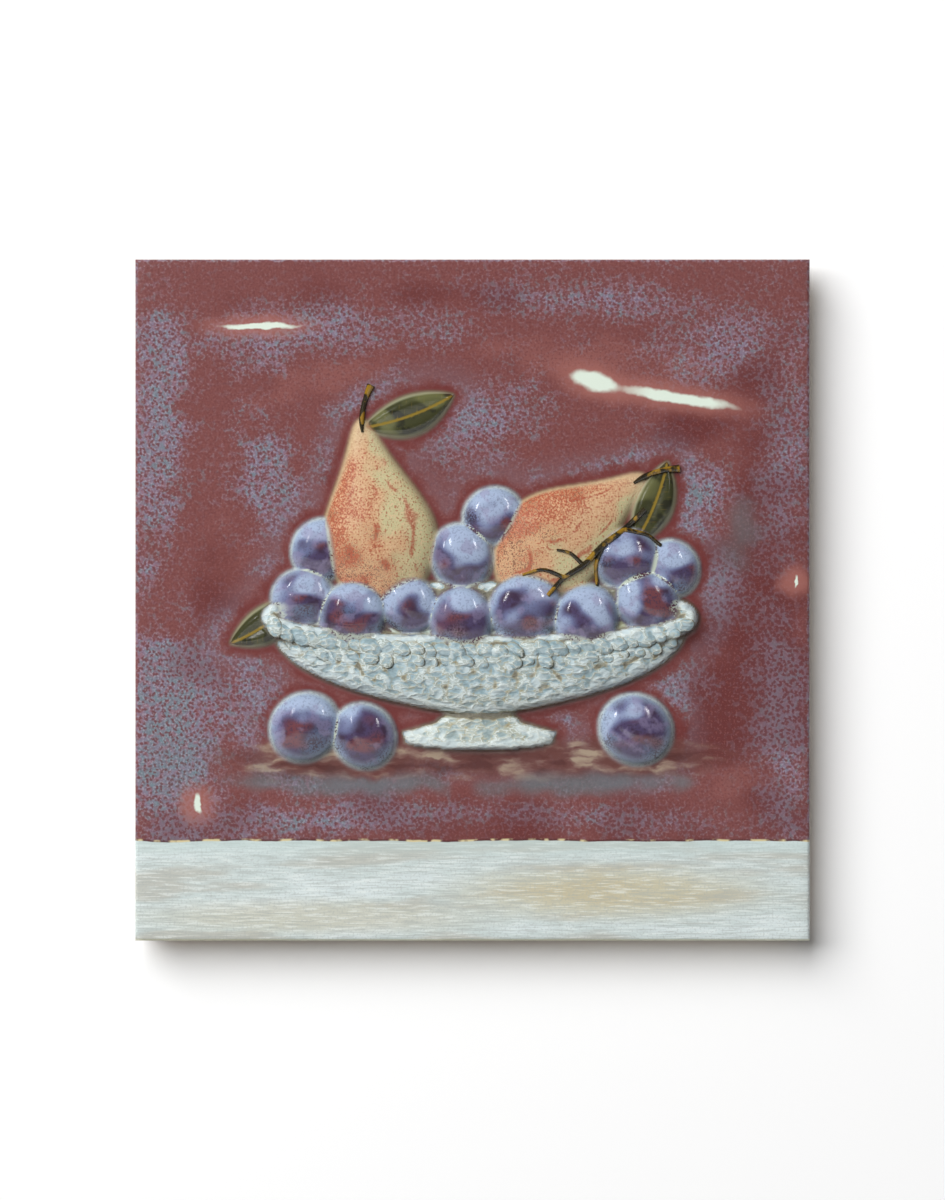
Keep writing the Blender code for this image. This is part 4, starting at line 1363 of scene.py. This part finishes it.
stalks = []
for name, x, z, length, _, lean, _, _ in PEARS:
    core = np.array((math.cos(math.radians(lean)), math.sin(math.radians(lean))))
    side = np.array((-core[1], core[0]))
    tip = np.array((x, z)) + core * (length - STALK_OVERLAP)
    shares = np.linspace(0.0, 1.0, STALK_STEPS)[:, None]
    path = tip + core * STALK_LENGTH * shares - side * STALK_LENGTH * STALK_BEND * shares**2
    radii = [share * STALK_HALF_WIDTH for share in STALK_TAPER]
    stalks.append(rolled_piece(name + "_stalk", [(path, radii)]))
# The twig and its spurs: points x and z, then radii from the first point to the last
TWIG_ROLLS = (
    (((0.073, 0.026), (0.064, 0.017), (0.055, 0.011), (0.046, 0.001), (0.037, -0.004), (0.030, -0.012)),
     (0.0012, 0.0014, 0.0009)),
    (((0.055, 0.011), (0.051, 0.002), (0.052, -0.008)), (0.0011, 0.0007)),
    (((0.064, 0.017), (0.074, 0.015), (0.080, 0.010)), (0.0011, 0.0008)),
    (((0.037, -0.004), (0.028, 0.000), (0.019, -0.003)), (0.0010, 0.0006)),
    (((0.046, 0.001), (0.040, 0.007), (0.034, 0.008)), (0.0010, 0.0006)),
)
twig = rolled_piece("plum_twig", [(bowed(path), radii) for path, radii in TWIG_ROLLS])
print("rolls of clay:", [piece.name for piece in (*stalks, twig)])

# %% [markdown]
# ## Shell-like dabs along the rim
# A row of thick dabs of slip runs under the bowl's rim, each pressed out flat with a thumb. They repeat
# along a path, so Geometry Nodes make them: the tree spreads points along the line, puts a flattened
# ball on each, turned along the line and then a little at random, and paints them as bowl.


# %% Geometry Nodes helpers
def new_tree(name, inputs):
    """An empty geometry tree with these named inputs, and its two end nodes."""
    tree = bpy.data.node_groups.new(name, "GeometryNodeTree")
    tree.interface.new_socket("Geometry", in_out="INPUT", socket_type="NodeSocketGeometry")
    for label, kind in inputs:
        tree.interface.new_socket(label, in_out="INPUT", socket_type=kind)
    tree.interface.new_socket("Geometry", in_out="OUTPUT", socket_type="NodeSocketGeometry")
    return tree, add(tree, "NodeGroupInput").outputs, add(tree, "NodeGroupOutput")


def plain_mesh(piece):
    """Turns an object's evaluated shape into its own mesh, and removes its modifiers."""
    view = bpy.context.evaluated_depsgraph_get()
    data = bpy.data.meshes.new_from_object(piece.evaluated_get(view), depsgraph=view)
    piece.modifiers.clear()
    piece.data = data
    data.name = piece.name
    return piece


def run_tree(piece, tree, values):
    """Runs a tree on an object with these values for its named inputs, and keeps the result."""
    modifier = piece.modifiers.new(tree.name, "NODES")
    modifier.node_group = tree
    for socket in tree.interface.items_tree:
        if socket.in_out == "INPUT" and socket.name in values:
            modifier[socket.identifier] = values[socket.name]
    return plain_mesh(piece)


print("geometry tree helpers ready")

# %% Rim dabs
dab_tree, given, result = new_tree("rim_dabs", (
    ("Count", "NodeSocketInt"), ("Length", "NodeSocketFloat"), ("Width", "NodeSocketFloat"),
    ("Thickness", "NodeSocketFloat"), ("Seed", "NodeSocketInt"), ("Glaze", "NodeSocketMaterial")))
line = add(dab_tree, "GeometryNodeMeshToCurve", {"Mesh": given["Geometry"]})
spots = add(dab_tree, "GeometryNodeCurveToPoints", {"Curve": line, "Count": given["Count"]}, mode="COUNT")
ball = add(dab_tree, "GeometryNodeMeshUVSphere", {"Segments": 12, "Rings": 6, "Radius": 0.5})
on_ball = add(dab_tree, "GeometryNodeInputPosition")
flat_place = add(dab_tree, "ShaderNodeVectorMath", {0: on_ball, 1: (1.0, 0.0, 1.0)}, operation="MULTIPLY")
from_centre = add(dab_tree, "ShaderNodeVectorMath", {0: flat_place}, operation="LENGTH").outputs["Value"]
pressed_rim = add(dab_tree, "ShaderNodeMapRange", {"Value": from_centre, "From Min": 0.28, "From Max": 0.49,
                                                   "To Min": -0.6, "To Max": 0.9})
ball = add(dab_tree, "GeometryNodeStoreNamedAttribute", {
    "Geometry": ball, "Name": "hollow", "Value": pressed_rim}, data_type="FLOAT", domain="POINT")
size = add(dab_tree, "ShaderNodeCombineXYZ", {0: given["Length"], 1: given["Thickness"], 2: given["Width"]})
dab = add(dab_tree, "GeometryNodeTransform", {"Geometry": ball, "Scale": size})
dab = add(dab_tree, "GeometryNodeSetShadeSmooth", {"Geometry": dab})
aligned = add(dab_tree, "FunctionNodeAlignRotationToVector", {"Vector": spots.outputs["Tangent"]},
              axis="X", pivot_axis="Y")
tip = add(dab_tree, "FunctionNodeRandomValue", {
    "Min": (-0.12, 0.15, -0.25), "Max": (0.25, 0.85, 0.10), "Seed": given["Seed"]}, data_type="FLOAT_VECTOR")
turn = add(dab_tree, "FunctionNodeEulerToRotation", {"Euler": tip})
turned = add(dab_tree, "FunctionNodeRotateRotation", {"Rotation": aligned, "Rotate By": turn},
             rotation_space="LOCAL")
scale = add(dab_tree, "FunctionNodeRandomValue", {"Min": 0.78, "Max": 1.22, "Seed": given["Seed"]},
            data_type="FLOAT")
placed = add(dab_tree, "GeometryNodeInstanceOnPoints", {
    "Points": spots.outputs["Points"], "Instance": dab, "Rotation": turned, "Scale": scale})
bowl_mark = add(dab_tree, "GeometryNodeStoreNamedAttribute", {
    "Geometry": placed, "Name": "bowl", "Value": 1.0}, data_type="FLOAT", domain="INSTANCE")
real = add(dab_tree, "GeometryNodeRealizeInstances", {"Geometry": bowl_mark})
glazed = add(dab_tree, "GeometryNodeSetMaterial", {"Geometry": real, "Material": given["Glaze"]})
dab_tree.links.new(glazed.outputs[0], result.inputs[0])
print("rim dab tree has", len(dab_tree.nodes), "nodes")

# %% Lines that the dabs follow
DAB_SINK = 0.0006
LINE_STEPS = 60
WALL_LEAN = 0.6          # how far the wall draws in for each step down from the rim


def rim_line(name, drop, reach):
    """A line along the bowl's front, this far below the middle of its rim, laid on the skin."""
    turn = np.linspace(math.pi + reach, 2 * math.pi - reach, LINE_STEPS)
    xs = (BOWL_RIM_RADIUS - drop * WALL_LEAN) * np.cos(turn)
    zs = BOWL_RIM_LEVEL + VIEW_TILT * BOWL_RIM_RADIUS * np.sin(turn) - drop
    points = [(GROUP_X + x, FACE_Y - height_at(x, z) + DAB_SINK, GROUP_Z + z) for x, z in zip(xs, zs)]
    data = bpy.data.meshes.new(name)
    data.from_pydata(points, [(i, i + 1) for i in range(LINE_STEPS - 1)], [])
    return put(name, data)


# Name, drop below the rim, turn left free at each end, count, length, width, thickness, seed
DAB_ROWS = (("upper_rim_dabs", 0.0022, 0.10, 30, 0.0100, 0.0062, 0.0022, 3),
            ("lower_rim_dabs", 0.0070, 0.34, 25, 0.0092, 0.0058, 0.0018, 8))
dab_rows = []
for name, drop, reach, count, length, width, thickness, seed in DAB_ROWS:
    row = run_tree(rim_line(name, drop, reach), dab_tree, {
        "Count": count, "Length": length, "Width": width, "Thickness": thickness, "Seed": seed,
        "Glaze": glaze})
    dab_rows.append(row)
    print(name, len(row.data.polygons), "faces")

# %% [markdown]
# ## The clay body
# Behind the glaze is bare buff stoneware. The solid already has the ribs at their true size, so the
# body is a copy of it: merged, cut off in front where the skin takes over, drawn in by the glaze's
# thickness at the sides, and softened with a bevel, as a damp sponge softens the clay's edges.

# %% Clay body
CLAY_FRONT_DEPTH = 0.0040
GLAZE_THICKNESS = 0.0005
SPONGED_EDGE = 0.0011
SAME_PLACE = 1e-6
ON_SIDE = 1e-5
FLAT_DEGREES = 1.0
CLAY_SHARP_DEGREES = 35


def clay_body():
    """The slab's bare back with its ribs."""
    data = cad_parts[SLAB_NODE].data.copy()
    data.name = "clay_body"
    data.materials.clear()
    work = bmesh.new()
    work.from_mesh(data)
    bmesh.ops.remove_doubles(work, verts=work.verts, dist=SAME_PLACE)
    everything = work.verts[:] + work.edges[:] + work.faces[:]
    bmesh.ops.bisect_plane(work, geom=everything, plane_co=(0, FACE_Y + CLAY_FRONT_DEPTH, 0),
                           plane_no=(0, -1, 0), clear_outer=True)
    bmesh.ops.holes_fill(work, edges=[e for e in work.edges if e.is_boundary], sides=0)
    for corner in work.verts:
        for axis, half in ((0, HALF_WIDTH), (2, HALF_HEIGHT)):
            if abs(abs(corner.co[axis]) - half) < ON_SIDE:
                corner.co[axis] -= math.copysign(GLAZE_THICKNESS, corner.co[axis])
    bmesh.ops.dissolve_limit(work, angle_limit=math.radians(FLAT_DEGREES), verts=work.verts,
                             edges=work.edges)
    bmesh.ops.recalc_face_normals(work, faces=work.faces)
    work.to_mesh(data)
    work.free()
    piece = put("clay_body", data)
    bevel = piece.modifiers.new("sponged_edge", "BEVEL")
    bevel.width = SPONGED_EDGE
    bevel.segments = 3
    bevel.limit_method = "ANGLE"
    return piece


body = plain_mesh(clay_body())
body.data.shade_smooth()
body.data.set_sharp_from_angle(angle=math.radians(CLAY_SHARP_DEGREES))
print(body.name, len(body.data.polygons), "faces, back face at y =",
      round(max(v.co.y for v in body.data.vertices), 4))

# %% [markdown]
# Unglazed stoneware is dry and a little coarse: buff, toasted darker in patches by the flame, with
# grains of grog in it. The scraping of a rib leaves faint, short, level lines.

# %% Stoneware material
TOAST = 0.070            # size of the flame's darker patches
GROG = 0.0024            # spacing of the grog specks
SCRAPE = 0.0016          # spacing of the scraper's lines
PIT = 0.0009             # size of the pits, as fine as the view can show
SCRAPE_DEPTH = 0.00014
PIT_DEPTH = 0.00020
stoneware, clay = new_material("unglazed_buff_stoneware")
clay_place = add(clay, "ShaderNodeTexCoord").outputs["Object"]
toast = speckle(clay, clay_place, TOAST, shift=1.0, detail=3.0).outputs["Fac"]
scraped = speckle(clay, clay_place, SCRAPE, (6.0, 1.0, 1.0), shift=3.0).outputs["Fac"]
pits = speckle(clay, clay_place, PIT, shift=2.0).outputs["Fac"]
grog_cells = add(clay, "ShaderNodeTexVoronoi", {"Vector": clay_place,
                                                "Scale": 1.0 / GROG}).outputs["Distance"]
clay_colour = coats(clay, linear("#b3a594"), (
    ("#a08d7a", toast, 0.47, 0.32, 0.60),
    ("#c5baab", toast, 0.53, 0.68, 0.60),
    ("#c9bda9", scraped, 0.54, 0.70, 0.30),
    ("#958470", scraped, 0.46, 0.32, 0.26),
    ("#d0c6b6", pits, 0.55, 0.66, 0.40),
    ("#8b7a68", pits, 0.45, 0.34, 0.40),
    ("#74604e", grog_cells, 0.20, 0.11, 0.60),
))
scratches = add(clay, "ShaderNodeMath", {0: scraped, 1: SCRAPE_DEPTH}, operation="MULTIPLY")
clay_height = add(clay, "ShaderNodeMath", {0: pits, 1: PIT_DEPTH, 2: scratches}, operation="MULTIPLY_ADD")
clay_bump = add(clay, "ShaderNodeBump", {"Strength": 1.0, "Distance": 1.0, "Height": clay_height})
clay_shader = add(clay, "ShaderNodeBsdfPrincipled", {"Base Color": clay_colour, "Roughness": 0.86,
                                                     "Normal": clay_bump, "Metallic": 0.0})
add(clay, "ShaderNodeOutputMaterial", {"Surface": clay_shader})
body.data.materials.append(stoneware)
print("stoneware has", len(clay.nodes), "nodes")

# %% [markdown]
# ### Grains of grog
# The coarser grains of grog stand out of the bare clay. They are scattered at random over the hollow
# back, so Geometry Nodes place them too: a few hundred tiny lumps, sunk by half, none on the ribs'
# faces that lie against the wall.

# %% Grog grains
BACKWARD = 0.9           # the least Y of a normal that faces the wall
RECESS_Y = -0.004        # the ribs' own faces lie behind this
GRAIN_FACES = 20
grog_tree, given, result = new_tree("grog_grains", (
    ("Density", "NodeSocketFloat"), ("Grain Size", "NodeSocketFloat"), ("Seed", "NodeSocketInt"),
    ("Clay", "NodeSocketMaterial")))
facing = add(grog_tree, "ShaderNodeSeparateXYZ", {0: add(grog_tree, "GeometryNodeInputNormal")})
backward = add(grog_tree, "FunctionNodeCompare", {"A": facing.outputs["Y"], "B": BACKWARD},
               data_type="FLOAT", operation="GREATER_THAN")
where_y = add(grog_tree, "ShaderNodeSeparateXYZ", {0: add(grog_tree, "GeometryNodeInputPosition")})
recessed = add(grog_tree, "FunctionNodeCompare", {"A": where_y.outputs["Y"], "B": RECESS_Y},
               data_type="FLOAT", operation="LESS_THAN")
bare = add(grog_tree, "FunctionNodeBooleanMath", {0: backward, 1: recessed}, operation="AND")
scatter = add(grog_tree, "GeometryNodeDistributePointsOnFaces", {
    "Mesh": given["Geometry"], "Selection": bare, "Density": given["Density"], "Seed": given["Seed"]})
grain = add(grog_tree, "GeometryNodeMeshIcoSphere", {"Radius": given["Grain Size"], "Subdivisions": 1})
spread = add(grog_tree, "FunctionNodeRandomValue", {
    "Min": (0.4, 0.4, 0.4), "Max": (1.3, 1.0, 1.3), "Seed": given["Seed"]}, data_type="FLOAT_VECTOR")
grains = add(grog_tree, "GeometryNodeInstanceOnPoints", {
    "Points": scatter.outputs["Points"], "Instance": grain, "Scale": spread})
real = add(grog_tree, "GeometryNodeRealizeInstances", {"Geometry": grains})
clayed = add(grog_tree, "GeometryNodeSetMaterial", {"Geometry": real, "Material": given["Clay"]})
grog_tree.links.new(clayed.outputs[0], result.inputs[0])
grog = run_tree(put("grog_grains", body.data.copy()), grog_tree, {
    "Density": 9000.0, "Grain Size": 0.00042, "Seed": 5, "Clay": stoneware})
print("grog:", len(grog.data.polygons) // GRAIN_FACES, "grains")

# %% [markdown]
# ## Hand over the pieces
# Each piece rides on the part's one body and stands for the solid slab, which is hidden. The dress
# must not outgrow the solid.

# %% Ride and replace
PIECES = [(skin, "glaze"), (body, "clay"), (grog, "clay"), (twig, "glaze")]
PIECES += [(piece, "glaze") for piece in (*stalks, *dab_rows)]
for piece, slot in PIECES:
    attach(piece, "root")
    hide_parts(SLAB_NODE)
print("pieces:", [piece.name for piece, _ in PIECES])
